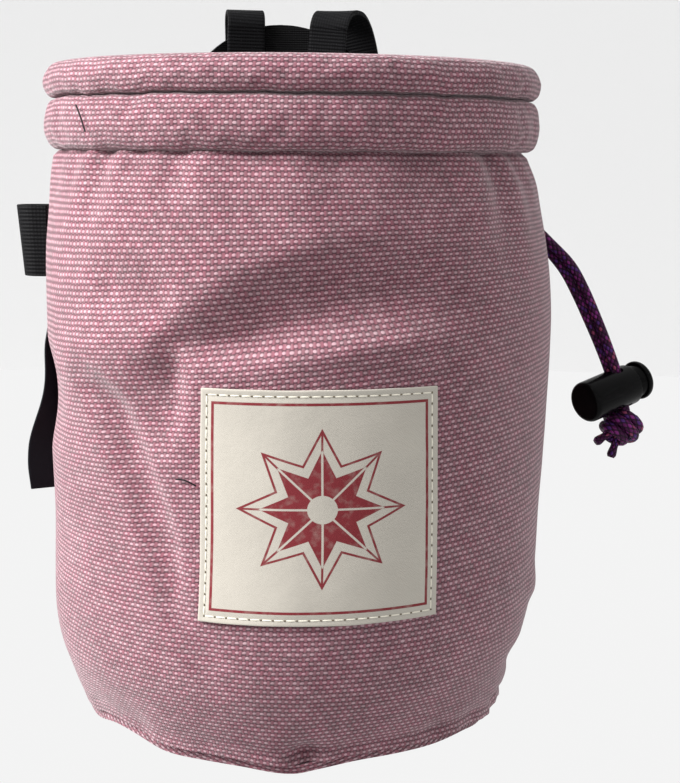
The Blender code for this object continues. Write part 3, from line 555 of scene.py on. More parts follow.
def webbing_finish(name, rib, base, light):
    """Polypropylene webbing: ribs straight across, and fine thread columns along it, nearly black."""
    made, tree, shader = new_material(name, roughness=0.65, specular_ior_level=0.08)
    uv = add(tree, "ShaderNodeUVMap", uv_map="cloth").outputs[0]
    part = add(tree, "ShaderNodeSeparateXYZ", {0: uv})

    def wave(source, size):
        angle = add(tree, MATH, (source, 2 * math.pi / size), operation="MULTIPLY")
        sine = add(tree, MATH, (angle,), operation="SINE")
        return add(tree, MATH, (sine, 0.5, 0.5), operation="MULTIPLY_ADD")

    ribs = wave(part.outputs["Y"], rib)
    columns = wave(part.outputs["X"], rib * 0.8)
    both = add(tree, MATH, (columns, 0.35, ribs), operation="MULTIPLY_ADD")
    color = add(tree, "ShaderNodeMix", {0: both, 6: linear(base), 7: linear(light)}, data_type="RGBA",
                clamp_factor=True)
    bump = add(tree, "ShaderNodeBump", {"Strength": 0.8, "Distance": 0.00012, "Height": both})
    tree.links.new(color.outputs[2], shader.inputs["Base Color"])
    tree.links.new(bump.outputs[0], shader.inputs["Normal"])
    return made


def satin_finish():
    """Woven satin ribbon: black with a smooth sheen along its length, and a fine cross thread."""
    made, tree, shader = new_material("woven_satin", roughness=0.42, specular_ior_level=0.18)
    uv = add(tree, "ShaderNodeUVMap", uv_map="cloth").outputs[0]
    stretched = add(tree, "ShaderNodeMapping", {"Vector": uv, "Scale": (9000.0, 1500.0, 1.0)}).outputs[0]
    thread = add(tree, "ShaderNodeTexNoise", {"Vector": stretched, "Scale": 1.0, "Detail": 1.0}).outputs[0]
    color = add(tree, "ShaderNodeMix", {0: thread, 6: linear("#05070b"), 7: linear("#0d1118")},
                data_type="RGBA")
    bump = add(tree, "ShaderNodeBump", {"Strength": 0.35, "Distance": 0.0001, "Height": thread})
    tree.links.new(color.outputs[2], shader.inputs["Base Color"])
    tree.links.new(bump.outputs[0], shader.inputs["Normal"])
    return made


def cord_finish():
    """Braided polyester cord: dark plum strands that cross, with magenta and violet fleck threads."""
    made, tree, shader = new_material("braided_polyester", roughness=0.5, specular_ior_level=0.12)
    uv = add(tree, "ShaderNodeUVMap", uv_map="cloth").outputs[0]
    part = add(tree, "ShaderNodeSeparateXYZ", {0: uv})

    # Two sets of strands that cross: the result, the sum, and its values or earlier results
    found = {"x": part.outputs["X"], "y": part.outputs["Y"]}
    for result, operation, *values in (
        ("around", "MULTIPLY", "x", 6.0),
        ("along", "DIVIDE", "y", 0.0017),
        ("one", "ADD", "around", "along"),
        ("two", "SUBTRACT", "around", "along"),
        ("one_number", "FLOOR", "one"),
        ("two_number", "FLOOR", "two"),
        ("one_part", "FRACT", "one"),
        ("two_part", "FRACT", "two"),
        ("one_turn", "MULTIPLY", "one_part", math.pi),
        ("two_turn", "MULTIPLY", "two_part", math.pi),
        ("one_ridge", "SINE", "one_turn"),
        ("two_ridge", "SINE", "two_turn"),
        ("height", "MULTIPLY", "one_ridge", "two_ridge"),
    ):
        found[result] = add(tree, MATH, [found.get(value, value) for value in values], operation=operation)
    height = found["height"]
    cell = add(tree, "ShaderNodeCombineXYZ", (found["one_number"], found["two_number"]))
    random = add(tree, "ShaderNodeTexWhiteNoise", {"Vector": cell}, noise_dimensions="2D").outputs["Value"]
    ramp = add(tree, "ShaderNodeValToRGB", {0: random})
    stops = ramp.color_ramp.elements
    ramp.color_ramp.interpolation = "CONSTANT"
    stops[0].position = 0.0
    stops[0].color = linear("#3d1439")
    stops[1].position = 0.45
    stops[1].color = linear("#561a50")
    for position, code in ((0.62, "#74286d"), (0.80, "#4b2668"), (0.93, "#833b5a")):
        stop = stops.new(position)
        stop.color = linear(code)
    shadow = add(tree, "ShaderNodeMapRange", {"Value": height, 1: 0.05, 2: 0.6}).outputs[0]
    color = add(tree, "ShaderNodeMix", {0: shadow, 6: linear("#1d0a1b"), 7: ramp.outputs[0]}, data_type="RGBA")
    bump = add(tree, "ShaderNodeBump", {"Strength": 0.9, "Distance": 0.00025, "Height": height})
    tree.links.new(color.outputs[2], shader.inputs["Base Color"])
    tree.links.new(bump.outputs[0], shader.inputs["Normal"])
    return made


def plastic_finish():
    """Moulded nylon: black, with the soft gloss of a fine spark-eroded mould."""
    made, tree, shader = new_material("moulded_nylon", roughness=0.2, specular_ior_level=0.07)
    spot = add(tree, "ShaderNodeTexCoord").outputs["Object"]
    grain = add(tree, "ShaderNodeTexNoise", {"Vector": spot, "Scale": 2600.0, "Detail": 2.0}).outputs[0]
    broad = add(tree, "ShaderNodeTexNoise", {"Vector": spot, "Scale": 240.0, "Detail": 2.0}).outputs[0]
    color = add(tree, "ShaderNodeMix", {0: broad, 6: linear("#020202"), 7: linear("#060607")}, data_type="RGBA")
    rough = add(tree, "ShaderNodeMapRange", {"Value": broad, 3: 0.16, 4: 0.26}).outputs[0]
    bump = add(tree, "ShaderNodeBump", {"Strength": 0.3, "Distance": 0.00005, "Height": grain})
    tree.links.new(color.outputs[2], shader.inputs["Base Color"])
    tree.links.new(rough, shader.inputs["Roughness"])
    tree.links.new(bump.outputs[0], shader.inputs["Normal"])
    return made


def eyelet_finish():
    """Lacquered brass: black lacquer, worn to bare metal specks on its rolled edge."""
    made, tree, shader = new_material("lacquered_brass", roughness=0.3, metallic=1.0)
    spot = add(tree, "ShaderNodeTexCoord").outputs["Object"]
    wear = add(tree, "ShaderNodeTexNoise", {"Vector": spot, "Scale": 900.0, "Detail": 3.0}).outputs[0]
    mask = add(tree, "ShaderNodeMapRange", {"Value": wear, 1: 0.66, 2: 0.74}).outputs[0]
    color = add(tree, "ShaderNodeMix", {0: mask, 6: linear("#1c1b1b"), 7: linear("#6d5a3a")}, data_type="RGBA")
    tree.links.new(color.outputs[2], shader.inputs["Base Color"])
    return made


def patch_finish():
    """Printed cotton twill: cream, with fine diagonal ribs, a dark red line square and a pieced star."""
    made, tree, shader = new_material("printed_cotton_twill", roughness=0.82, sheen_weight=0.15,
                                      specular_ior_level=0.25)
    uv = add(tree, "ShaderNodeUVMap", uv_map="cloth").outputs[0]
    part = add(tree, "ShaderNodeSeparateXYZ", {0: uv})
    mottle = add(tree, "ShaderNodeTexNoise", {"Vector": uv, "Scale": 420.0, "Detail": 3.0}).outputs[0]
    broad = add(tree, "ShaderNodeTexNoise", {"Vector": uv, "Scale": 60.0, "Detail": 2.0}).outputs[0]
    cloth = add(tree, "ShaderNodeMix", {0: broad, 6: linear("#a19c93"), 7: linear("#b1aca2")},
                data_type="RGBA")
    side = PATCH_WIDTH / 2 - 0.0026
    tall = PATCH_HEIGHT / 2 - 0.0029
    sector = math.pi / 8
    # The ribs, the printed square, and a star of eight points folded into one sector
    steps = [
        ("rib_across", "MULTIPLY", "x", 0.8),
        ("rib_place", "ADD", "rib_across", "y"),
        ("rib_turn", "MULTIPLY", "rib_place", 2 * math.pi / 0.00055),
        ("rib", "SINE", "rib_turn"),
        ("x_size", "ABSOLUTE", "x"),
        ("y_size", "ABSOLUTE", "y"),
        ("past_side", "SUBTRACT", "x_size", side),
        ("past_top", "SUBTRACT", "y_size", tall),
        ("square", "MAXIMUM", "past_side", "past_top"),
        ("square_size", "ABSOLUTE", "square"),
        ("x_square", "MULTIPLY", "x", "x"),
        ("y_square", "MULTIPLY", "y", "y"),
        ("both_squares", "ADD", "x_square", "y_square"),
        ("radius", "SQRT", "both_squares"),
        ("angle", "ARCTAN2", "y", "x"),
        ("folded", "PINGPONG", "angle", sector),
        ("cosine", "COSINE", "folded"),
        ("sine", "SINE", "folded"),
        ("out", "MULTIPLY", "radius", "cosine"),
        ("beside", "MULTIPLY", "radius", "sine"),
    ]
    # The signed distance to each star's edge, from its tip to the valley beside it
    for edge, tip, valley in (("outer_edge", 0.0165, 0.0098), ("inner_edge", 0.0125, 0.0072)):
        run = valley * math.cos(sector) - tip
        rise = valley * math.sin(sector)
        length = math.hypot(run, rise)
        steps += [
            (edge + "_out", "SUBTRACT", "out", tip),
            (edge + "_one", "MULTIPLY", edge + "_out", rise / length),
            (edge + "_two", "MULTIPLY", "beside", -run / length),
            (edge, "ADD", edge + "_one", edge + "_two"),
        ]
    steps.append(("outer_edge_size", "ABSOLUTE", "outer_edge"))
    found = {"x": part.outputs["X"], "y": part.outputs["Y"]}
    for result, operation, *values in steps:
        found[result] = add(tree, MATH, [found.get(value, value) for value in values], operation=operation)
    # Inked bands: the result, the distance and half the band's width
    soft = 0.00007
    for result, source, half in (
        ("line", "square_size", 0.00030), ("outline", "outer_edge_size", 0.00024), ("inner", "inner_edge", 0.0),
        ("rays", "beside", 0.00022), ("within", "outer_edge", 0.0), ("middle", "radius", 0.0030),
    ):
        found[result] = add(tree, "ShaderNodeMapRange",
                            {"Value": found[source], 1: half - soft, 2: half + soft, 3: 1.0, 4: 0.0},
                            interpolation_type="SMOOTHSTEP")
    for result, operation, *values in (
        ("round_middle", "SUBTRACT", 1.0, "middle"),
        ("solid", "MULTIPLY", "inner", "round_middle"),
        ("dark_rays", "MULTIPLY", "rays", "within"),
        ("filled", "MAXIMUM", "dark_rays", "solid"),
        ("drawn", "MAXIMUM", "outline", "filled"),
        ("light_rays", "MULTIPLY", "rays", "inner"),
        ("star", "SUBTRACT", "drawn", "light_rays"),
        ("ink", "MAXIMUM", "line", "star"),
    ):
        found[result] = add(tree, MATH, [found.get(value, value) for value in values], operation=operation)
    worn = add(tree, "ShaderNodeMapRange", {"Value": mottle, 1: 0.25, 2: 0.5, 3: 0.75, 4: 1.0}).outputs[0]
    share = add(tree, MATH, (found["ink"], worn), operation="MULTIPLY")
    printed = add(tree, "ShaderNodeMix", {0: share, 6: cloth.outputs[2], 7: linear("#6e1d24")},
                  data_type="RGBA")
    height = add(tree, MATH, (found["rib"], 0.35, mottle), operation="MULTIPLY_ADD")
    bump = add(tree, "ShaderNodeBump", {"Strength": 0.5, "Distance": 0.00012, "Height": height})
    tree.links.new(printed.outputs[2], shader.inputs["Base Color"])
    tree.links.new(bump.outputs[0], shader.inputs["Normal"])
    return made


def thread_finish(name, code):
    """Polyester sewing thread, two-ply: a slight gloss along its twist."""
    made, tree, shader = new_material(name, roughness=0.6, specular_ior_level=0.15)
    spot = add(tree, "ShaderNodeTexCoord").outputs["Object"]
    fibre = add(tree, "ShaderNodeTexNoise", {"Vector": spot, "Scale": 4000.0, "Detail": 2.0}).outputs[0]
    color = add(tree, "ShaderNodeMix", {0: fibre, 6: linear(code, 0.7), 7: linear(code)}, data_type="RGBA")
    bump = add(tree, "ShaderNodeBump", {"Strength": 0.4, "Distance": 0.00005, "Height": fibre})
    tree.links.new(color.outputs[2], shader.inputs["Base Color"])
    tree.links.new(bump.outputs[0], shader.inputs["Normal"])
    return made


# Camera, stage and light
def look_from(place_at, turn, pitch, roll):
    level = math.cos(math.radians(pitch))
    forward = Vector((math.sin(math.radians(turn)) * level, math.cos(math.radians(turn)) * level,
                      -math.sin(math.radians(pitch))))
    matrix = forward.to_track_quat("-Z", "Y").to_matrix().to_4x4()
    matrix = Matrix.Translation(place_at) @ matrix @ Matrix.Rotation(math.radians(roll), 4, "Z")
    return matrix


def make_camera():
    data = bpy.data.cameras.new("photo_camera")
    data.lens = CAMERA_LENS
    data.sensor_width = 36.0
    data.clip_start = 0.01
    camera = bpy.data.objects.new("photo_camera", data)
    bpy.context.scene.collection.objects.link(camera)
    camera.matrix_world = look_from(Vector(CAMERA_PLACE), CAMERA_TURN, CAMERA_PITCH, CAMERA_ROLL)
    bpy.context.scene.camera = camera


def area_light(name, azimuth, elevation, distance, size, power, color, aim=(0.0, 0.0, 0.08)):
    """A square softbox that faces the bag."""
    data = bpy.data.lights.new(name, "AREA")
    data.shape = "SQUARE"
    data.size = size
    data.energy = power
    data.color = color
    lamp = bpy.data.objects.new(name, data)
    bpy.context.scene.collection.objects.link(lamp)
    level = math.radians(elevation)
    offset = outward(azimuth) * math.cos(level) + Vector((0, 0, math.sin(level)))
    lamp.location = Vector(aim) + offset * distance
    lamp.rotation_mode = "QUATERNION"
    lamp.rotation_quaternion = (-offset).to_track_quat("-Z", "Y")
    return lamp


def make_stage():
    """A pale floor that turns up into a pale wall all round."""
    deselect()
    flat_radius, sweep, cuts = 0.6, 1.5, 24
    bpy.ops.mesh.primitive_circle_add(vertices=96, radius=flat_radius, fill_type="NGON",
                                      location=(0, 0, -0.0002))
    floor = bpy.context.object
    floor.name = "studio_floor"
    bpy.ops.object.mode_set(mode="EDIT")
    bpy.ops.mesh.select_all(action="SELECT")
    bpy.ops.mesh.delete(type="ONLY_FACE")
    bpy.ops.mesh.select_all(action="SELECT")
    radius = flat_radius
    for step in range(1, cuts + 1):
        angle = math.radians(80.0 * step / cuts)
        before = math.radians(80.0 * (step - 1) / cuts)
        grown = flat_radius + sweep * math.sin(angle)
        rise = sweep * (math.cos(before) - math.cos(angle))
        bpy.ops.mesh.extrude_region_move(TRANSFORM_OT_translate={"value": (0, 0, rise)})
        bpy.ops.transform.resize(value=(grown / radius, grown / radius, 1.0))
        radius = grown
    bpy.ops.mesh.select_all(action="DESELECT")
    mesh = bmesh.from_edit_mesh(floor.data)
    for edge in mesh.edges:
        edge.select = all(vert.co.length < flat_radius + 0.01 and abs(vert.co.z) < 0.001 for vert in edge.verts)
    mesh.select_flush(False)
    bmesh.update_edit_mesh(floor.data)
    bpy.ops.mesh.select_mode(type="EDGE")
    bpy.ops.mesh.edge_face_add()
    bpy.ops.object.mode_set(mode="OBJECT")
    bpy.ops.object.shade_smooth()
    floor.data.transform(floor.matrix_world)
    floor.matrix_world = Matrix.Identity(4)
    paper, tree, shader = new_material("matt_studio_paper", roughness=0.9, specular_ior_level=0.1)
    shader.inputs["Base Color"].default_value = linear("#f2f2f2")
    floor.data.materials.append(paper)
    deselect()
    return floor


def make_light(floor):
    """A softbox from the upper left, which a flag keeps off the paper, in a bright tent."""
    scene = bpy.context.scene
    scene.view_settings.view_transform = "Standard"
    world = bpy.data.worlds.new("studio_world")
    scene.world = world
    world.use_nodes = True
    back = world.node_tree.nodes["Background"]
    back.inputs["Color"].default_value = (1.0, 1.0, 1.0, 1.0)
    back.inputs["Strength"].default_value = 0.90
    key = area_light("key_light", -72.0, 33.0, 1.0, 0.48, 27.2, (1.0, 0.985, 0.975))
    flagged = bpy.data.collections.new("flagged_paper")
    flagged.objects.link(floor)
    flagged.collection_objects[0].light_linking.link_state = "EXCLUDE"
    key.light_linking.receiver_collection = flagged
    area_light("soft_shadow_light", -60.0, 60.0, 1.4, 0.9, 5.0, (1.0, 1.0, 1.0))


# The drawcord
CORD_ROUTE = (
    (0.0006, 0.0002, -0.0001, 0.26, -0.97), (0.0029, 0.0006, -0.0009, 0.35, -0.94),
    (0.0059, -0.0005, -0.0043, 0.60, -0.80), (0.0106, -0.0021, -0.0097, 0.80, -0.60),
    (0.0138, -0.0037, -0.0156, 0.80, -0.60), (0.0167, -0.0053, -0.0222, 0.72, -0.69),
    (0.0190, -0.0069, -0.0279, 0.62, -0.78), (0.0213, -0.0088, -0.0344, 0.54, -0.84),
    (0.0226, -0.0095, -0.0394, 0.54, -0.84), (0.0240, -0.0096, -0.0450, 0.54, -0.84),
)


def even_path(path, spacing):
    lengths = [0.0]
    for start, end in zip(path, path[1:]):
        lengths.append(lengths[-1] + (end - start).length)
    count = max(2, round(lengths[-1] / spacing))
    even = []
    index = 0
    for step in range(count + 1):
        target = lengths[-1] * step / count
        while index < len(path) - 2 and lengths[index + 1] < target:
            index += 1
        t = (target - lengths[index]) / (lengths[index + 1] - lengths[index])
        even.append(path[index].lerp(path[index + 1], t))
    return even


def cord_route(side):
    """The route points of one strand: side is -1 for strand a and 1 for strand b."""
    middles = [Vector(CORD_EXIT) + Vector(row[:3]) for row in CORD_ROUTE]
    points = []
    for index, middle in enumerate(middles):
        along = (middles[min(index + 1, len(middles) - 1)] - middles[max(index - 1, 0)]).normalized()
        across = Vector((*CORD_ROUTE[index][3:], 0.0))
        across = (across - along * across.dot(along)).normalized()
        points.append(middle + across * (side * CORD_PITCH / 2))
    return points


def cord_tube(name, path, radius, sides=20, swell=None):
    """A closed tube along a path, with its UV map round (in turns) and along (in metres)."""
    mesh = bmesh.new()
    layer = mesh.loops.layers.uv.new("cloth")
    rings = []
    normal = None
    length = 0.0
    places = []
    for index, point in enumerate(path):
        if index:
            length += (point - path[index - 1]).length
        along = (path[min(index + 1, len(path) - 1)] - path[max(index - 1, 0)]).normalized()
        if normal is None:
            normal = along.orthogonal().normalized()
        normal = (normal - along * normal.dot(along)).normalized()
        other = along.cross(normal)
        size = radius * (swell(index / (len(path) - 1)) if swell else 1.0)
        rings.append([mesh.verts.new(point + (normal * math.cos(turn) + other * math.sin(turn)) * size)
                      for turn in [2 * math.pi * side / sides for side in range(sides)]])
        places.append(length)
    for index in range(len(rings) - 1):
        for side in range(sides):
            beside = (side + 1) % sides
            face = mesh.faces.new((rings[index][side], rings[index][beside], rings[index + 1][beside],
                                   rings[index + 1][side]))
            for loop, (turn, at) in zip(face.loops, ((side, index), (side + 1, index), (side + 1, index + 1),
                                                     (side, index + 1))):
                loop[layer].uv = (turn / sides, places[at])
    for ring, at in ((rings[0], places[0]), (rings[-1], places[-1])):
        middle = mesh.verts.new(sum((vert.co for vert in ring), Vector()) / sides)
        for side in range(sides):
            face = mesh.faces.new((ring[side], ring[(side + 1) % sides], middle))
            for loop in face.loops:
                loop[layer].uv = (side / sides, at)
    bmesh.ops.recalc_face_normals(mesh, faces=mesh.faces)
    data = bpy.data.meshes.new(name)
    mesh.to_mesh(data)
    mesh.free()
    piece = bpy.data.objects.new(name, data)
    bpy.context.scene.collection.objects.link(piece)
    return piece


def join(name, pieces):
    deselect()
    for piece in pieces:
        piece.select_set(True)
    bpy.context.view_layer.objects.active = pieces[0]
    bpy.ops.object.join()
    made = bpy.context.object
    made.name = made.data.name = name
    deselect()
    return made


def make_knot(finish):
    """The stopper knot: a wound ball of cord over a core, with the two short ends."""
    low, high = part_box("cord_knot")
    end = Vector(CORD_EXIT) + Vector(CORD_ROUTE[-1][:3])
    radius = 0.0053
    tall = 0.76 * radius
    centre = end - Vector((0.0, 0.0, 2 * GAP + tall * 0.80))
    tilt = Matrix.Rotation(math.radians(38), 3, "Y") @ Matrix.Rotation(math.radians(-20), 3, "X")
    strand = 0.00135
    turns = 3.3
    path = []
    count = 150
    for step in range(count + 1):
        share = step / count
        polar = math.radians(24 + 132 * share)
        turn = 2 * math.pi * turns * share
        spot = tilt @ Vector((math.sin(polar) * math.cos(turn), math.sin(polar) * math.sin(turn),
                              math.cos(polar)))
        path.append(centre + Vector((spot.x * (1.05 * radius - strand), spot.y * (0.92 * radius - strand),
                                     spot.z * (tall + 0.0009 - strand))))
    wound = cord_tube("knot_wraps", path, strand, 14)
    core_path = [centre + Vector((0, 0, 0.0026 * (t - 0.5) * 2)) for t in [i / 10 for i in range(11)]]
    core = cord_tube("knot_core", core_path, 0.0037, 24,
                     swell=lambda t: math.sqrt(max(0.05, 1 - (2 * t - 1) ** 2 * 0.9)))
    tails = []
    for name, direction, length in (("knot_end_left", (-0.85, -0.25, -0.42), 0.0078),
                                    ("knot_end_down", (-0.33, -0.12, -0.93), 0.0078)):
        way = Vector(direction).normalized()
        start = centre + way * 0.0020
        tail_path = [start + way * (length - 0.0020) * i / 10 + Vector((0, 0, -0.0004 * (i / 10) ** 2))
                     for i in range(11)]
        tails.append(cord_tube(name, tail_path, 0.00105, 14,
                               swell=lambda t: 1.0 + 0.12 * math.sin(9 * t) - 0.25 * fade(t, 0.9, 1.0)))
    knot = join("stopper_knot", [wound, core] + tails)
    dress(knot, finish, "bag", ["cord_knot"])
    return knot


def lock_matrix():
    origin = Vector(CORD_EXIT) + Vector(CORD_ROUTE[LOCK_POINT][:3])
    z = Vector(LOCK_AXIS).normalized()
    up = Vector(CORD_ROUTE[LOCK_POINT - 1][:3]) - Vector(CORD_ROUTE[LOCK_POINT + 1][:3])
    x = (up - z * up.dot(z)).normalized()
    matrix = Matrix((x, z.cross(x), z)).transposed().to_4x4()
    matrix.translation = origin
    return matrix


def turned(name, profile, sides=64):
    """A round piece about Z: a circle, pulled up and scaled through the profile's radii and heights."""
    deselect()
    first_radius, first_height = profile[0]
    bpy.ops.mesh.primitive_circle_add(vertices=sides, radius=first_radius, location=(0, 0, first_height),
                                      fill_type="NGON")
    piece = bpy.context.object
    piece.name = piece.data.name = name
    piece.data.transform(piece.matrix_world)
    piece.matrix_world = Matrix.Identity(4)
    bpy.ops.object.mode_set(mode="EDIT")
    bpy.ops.mesh.select_all(action="SELECT")
    radius, height = first_radius, first_height
    for next_radius, next_height in profile[1:]:
        bpy.ops.mesh.extrude_region_move(TRANSFORM_OT_translate={"value": (0, 0, next_height - height)})
        bpy.ops.transform.resize(value=(next_radius / radius, next_radius / radius, 1.0))
        radius, height = next_radius, next_height
    bpy.ops.mesh.select_all(action="SELECT")
    bpy.ops.mesh.normals_make_consistent(inside=False)
    bpy.ops.object.mode_set(mode="OBJECT")
    deselect()
    return piece


def rounded_profile(radius, low, high, low_round, high_round, steps=6):
    """Radii and heights of a cylinder with rounded ends."""
    rows = [(0.35 * radius, low)]
    for step in range(steps + 1):
        angle = math.radians(90 * step / steps)
        rows.append((radius - low_round * (1 - math.sin(angle)), low + low_round * (1 - math.cos(angle))))
    for step in range(steps + 1):
        angle = math.radians(90 * step / steps)
        rows.append((radius - high_round * (1 - math.cos(angle)), high - high_round * (1 - math.sin(angle))))
    rows.append((0.35 * radius, high))
    return rows


def cut_slot(piece, low, high, wide):
    """Cuts the cord's slot straight through, with round ends."""
    deselect()
    bpy.ops.mesh.primitive_cube_add(size=1.0)
    cutter = bpy.context.object
    cutter.name = "slot_cutter"
    cutter.data.transform(Matrix.Diagonal((0.03, 2 * wide, high - low, 1.0)))
    cutter.data.transform(Matrix.Translation((0, 0, (low + high) / 2)))
    bevel = cutter.modifiers.new("round", "BEVEL")
    bevel.width = min(wide, (high - low) / 2) * 0.7
    bevel.segments = 5
    apply_modifiers(cutter)
    boolean = piece.modifiers.new("slot", "BOOLEAN")
    boolean.solver = "EXACT"
    boolean.object = cutter
    apply_modifiers(piece)
    bpy.data.objects.remove(cutter, do_unlink=True)


def make_lock(plastic):
    matrix = lock_matrix()
    barrel = turned("lock_barrel", rounded_profile(0.0051, -0.0040, 0.0116, 0.0004, 0.0013))
    bore = turned("bore_cutter", [(0.0043, -0.0060), (0.0043, 0.0102)])
    boolean = barrel.modifiers.new("bore", "BOOLEAN")
    boolean.solver = "EXACT"
    boolean.object = bore
    apply_modifiers(barrel)
    bpy.data.objects.remove(bore, do_unlink=True)
    slot = CORD_DIAMETER / 2 + 2 * GAP
    wide = (CORD_PITCH + CORD_DIAMETER) / 2 + 2 * GAP
    cut_slot(barrel, -slot, slot, wide)
    button = rounded_profile(0.0049, -0.0086, -0.0067, 0.0011, 0.0005)[:-1]
    plunger = turned("lock_plunger", button + [(0.0042, -0.0067), (0.0041, -0.0064), (0.0041, 0.0027),
                                               (0.0038, 0.0030), (0.0015, 0.0030)])
    cut_slot(plunger, -slot - 0.0024, slot, wide)
    for piece in (barrel, plunger):
        piece.data.transform(matrix)
    dress(barrel, plastic, "bag", ["toggle_barrel"])
    dress(plunger, plastic, "plunger", ["toggle_plunger"])
    return barrel, plunger


def make_cord(finish, barrel, plunger):
    for name, side, node in (("drawcord_a", -1, "cord_strand_a"), ("drawcord_b", 1, "cord_strand_b")):
        path = even_path(smooth_path(cord_route(side), 8), 0.0006)
        strand = cord_tube(name, path, CORD_DIAMETER / 2 + 0.11 * MM, 20)
        dress(strand, finish, "bag", [node])


# The bag
def make_wall(finish):
    low = BASE_THICKNESS + GAP
    high = WALL_HEIGHT + 0.1 * MM
    rows = 110

    def level(along):
        return low + (high - low) * along

    def point(azimuth, along):
        return wall_point(azimuth, level(along))

    def flat(turn, along):
        """The cloth's own rows: level at the mouth, and pulled up to the right lower down."""
        angle = math.radians(360.0 * turn - 180.0)
        height = level(along)
        pulled = fade(height, 0.134, 0.092) * fade(height, 0.020, 0.080)
        return turn * 2 * math.pi * BODY_RADIUS, height - 0.10 * BODY_RADIUS * math.sin(angle) * pulled

    wall = cloth_tube("bag_wall", 360, rows, point, flat)
    thicken(wall, WALL_THICKNESS, -1.0)
    mend_normals(wall)
    return dress(wall, finish, "bag", ["body_shell"])


def roll_section(rows, steps):
    """Points on a smooth closed curve through a roll's section."""
    points = [Vector((radial, rise, 0.0)) for radial, rise in rows]
    count = len(points)
    path = []
    for index in range(count):
        before, low, high, after = [points[(index + k) % count] for k in (-1, 0, 1, 2)]
        for step in range(steps):
            t = step / steps
            path.append(0.5 * (2 * low + (high - before) * t + (2 * before - 5 * low + 4 * high - after) * t**2
                               + (3 * low - before - 3 * high + after) * t**3))
    return path


def swell(piece, pinned, cap):
    """Fills a sewn roll: cloth under pressure, held at its stitches, at ten times the size for a steady solver.

    Each point's move is eased towards the cap, so the roll keeps its place and only rounds out and puckers.
    """
    start = [vertex.co.copy() for vertex in piece.data.vertices]
    piece.data.transform(Matrix.Scale(10.0, 4))
    group = piece.vertex_groups.new(name="stitched")
    group.add([index for index, spot in enumerate(start) if pinned(spot)], 1.0, "REPLACE")
    cloth = piece.modifiers.new("swell", "CLOTH")
    settings = cloth.settings
    settings.quality = 5
    settings.mass = 0.3
    settings.tension_stiffness = 20.0
    settings.compression_stiffness = 20.0
    settings.bending_stiffness = 0.6
    settings.shrink_min = -0.02
    settings.vertex_group_mass = "stitched"
    settings.use_pressure = True
    settings.uniform_pressure_force = 4.0
    settings.effector_weights.gravity = 0.0
    cloth.point_cache.frame_start = 1
    cloth.point_cache.frame_end = 20
    for step in range(1, 21):
        bpy.context.scene.frame_set(step)
    apply_modifiers(piece)
    piece.data.transform(Matrix.Scale(0.1, 4))
    for vertex, before in zip(piece.data.vertices, start):
        move = vertex.co - before
        vertex.co = before + move * (cap / (cap + move.length))
    piece.vertex_groups.clear()
    finer = piece.modifiers.new("finer", "SUBSURF")
    finer.levels = finer.render_levels = 1
    finer.uv_smooth = "NONE"
    apply_modifiers(piece)
    bpy.context.scene.frame_set(1)


def seam_wave(azimuth, seed):
    """How far a seam between two rolls wanders up or down."""
    spot = outward(azimuth) * ROLL_RADIUS
    return (0.34 * ripple(spot, 0.013, seed) + 0.20 * ripple(spot, 0.005, seed + 0.5)) * MM


def make_roll(name, rows, low, height, finish, node, seed):
    """A padded roll, sewn down along its edges: the cloth puffs out between its stitches."""
    section_path = roll_section(rows, 4)
    section_path.append(section_path[0])
    lengths = [0.0]
    for start, end in zip(section_path, section_path[1:]):
        step = math.hypot((end.x - start.x) * ROLL_THICKNESS, (end.y - start.y) * height)
        lengths.append(lengths[-1] + step)
    inside = ROLL_RADIUS - ROLL_THICKNESS
    count = len(section_path) - 1

    def point(azimuth, along):
        spot = section_path[min(int(round(along * count)), count)]
        radial = inside + spot.x * ROLL_THICKNESS
        rise = low + spot.y * height
        where = outward(azimuth) * radial + Vector((ROLL_SHIFT, 0.0, rise))
        outer = fade(spot.x, 0.5, 0.9)
        radial += outer * (0.30 * MM * ripple(where, 0.016, seed) + 0.14 * MM * ripple(where, 0.006, seed + 1))
        if node == "rim_lower_roll":
            wave = (1 - spot.y) * seam_wave(azimuth, 40.0) + spot.y * seam_wave(azimuth, 41.0)
            rise += wave * fade(spot.x, 0.3, 0.8)
        else:
            rise += (1 - spot.y) * seam_wave(azimuth, 41.0) * fade(spot.x, 0.3, 0.8)
        return outward(azimuth) * radial + Vector((ROLL_SHIFT, 0.0, rise))

    def flat(turn, along):
        return turn * 2 * math.pi * ROLL_RADIUS, lengths[int(round(along * count))]

    roll = cloth_tube(name, 300, count, point, flat)
    mend_normals(roll)

    def pinned(spot):
        share = (math.hypot(spot.x - ROLL_SHIFT, spot.y) - inside) / ROLL_THICKNESS
        rise = (spot.z - low) / height
        column = round(math.degrees(math.atan2(spot.x - ROLL_SHIFT, -spot.y)) / 1.2)
        return share < 0.60 or (share < 0.86 and column % 3 == 0 and (rise < 0.14 or rise > 0.90))

    swell(roll, pinned, 0.6 * MM)
    dress(roll, finish, "bag", [node])
    return roll


LOWER_ROLL_SECTION = (
    (0.00, 0.00), (0.50, 0.00), (0.70, 0.02), (0.88, 0.15), (0.98, 0.34), (1.00, 0.54), (0.95, 0.78),
    (0.84, 0.94), (0.66, 1.00), (0.00, 1.00),
)
TOP_ROLL_SECTION = (
    (0.00, 0.00), (0.55, 0.00), (0.79, 0.04), (0.94, 0.20), (1.00, 0.45), (0.95, 0.70), (0.80, 0.90),
    (0.55, 1.00), (0.20, 0.95), (0.00, 0.72),
)


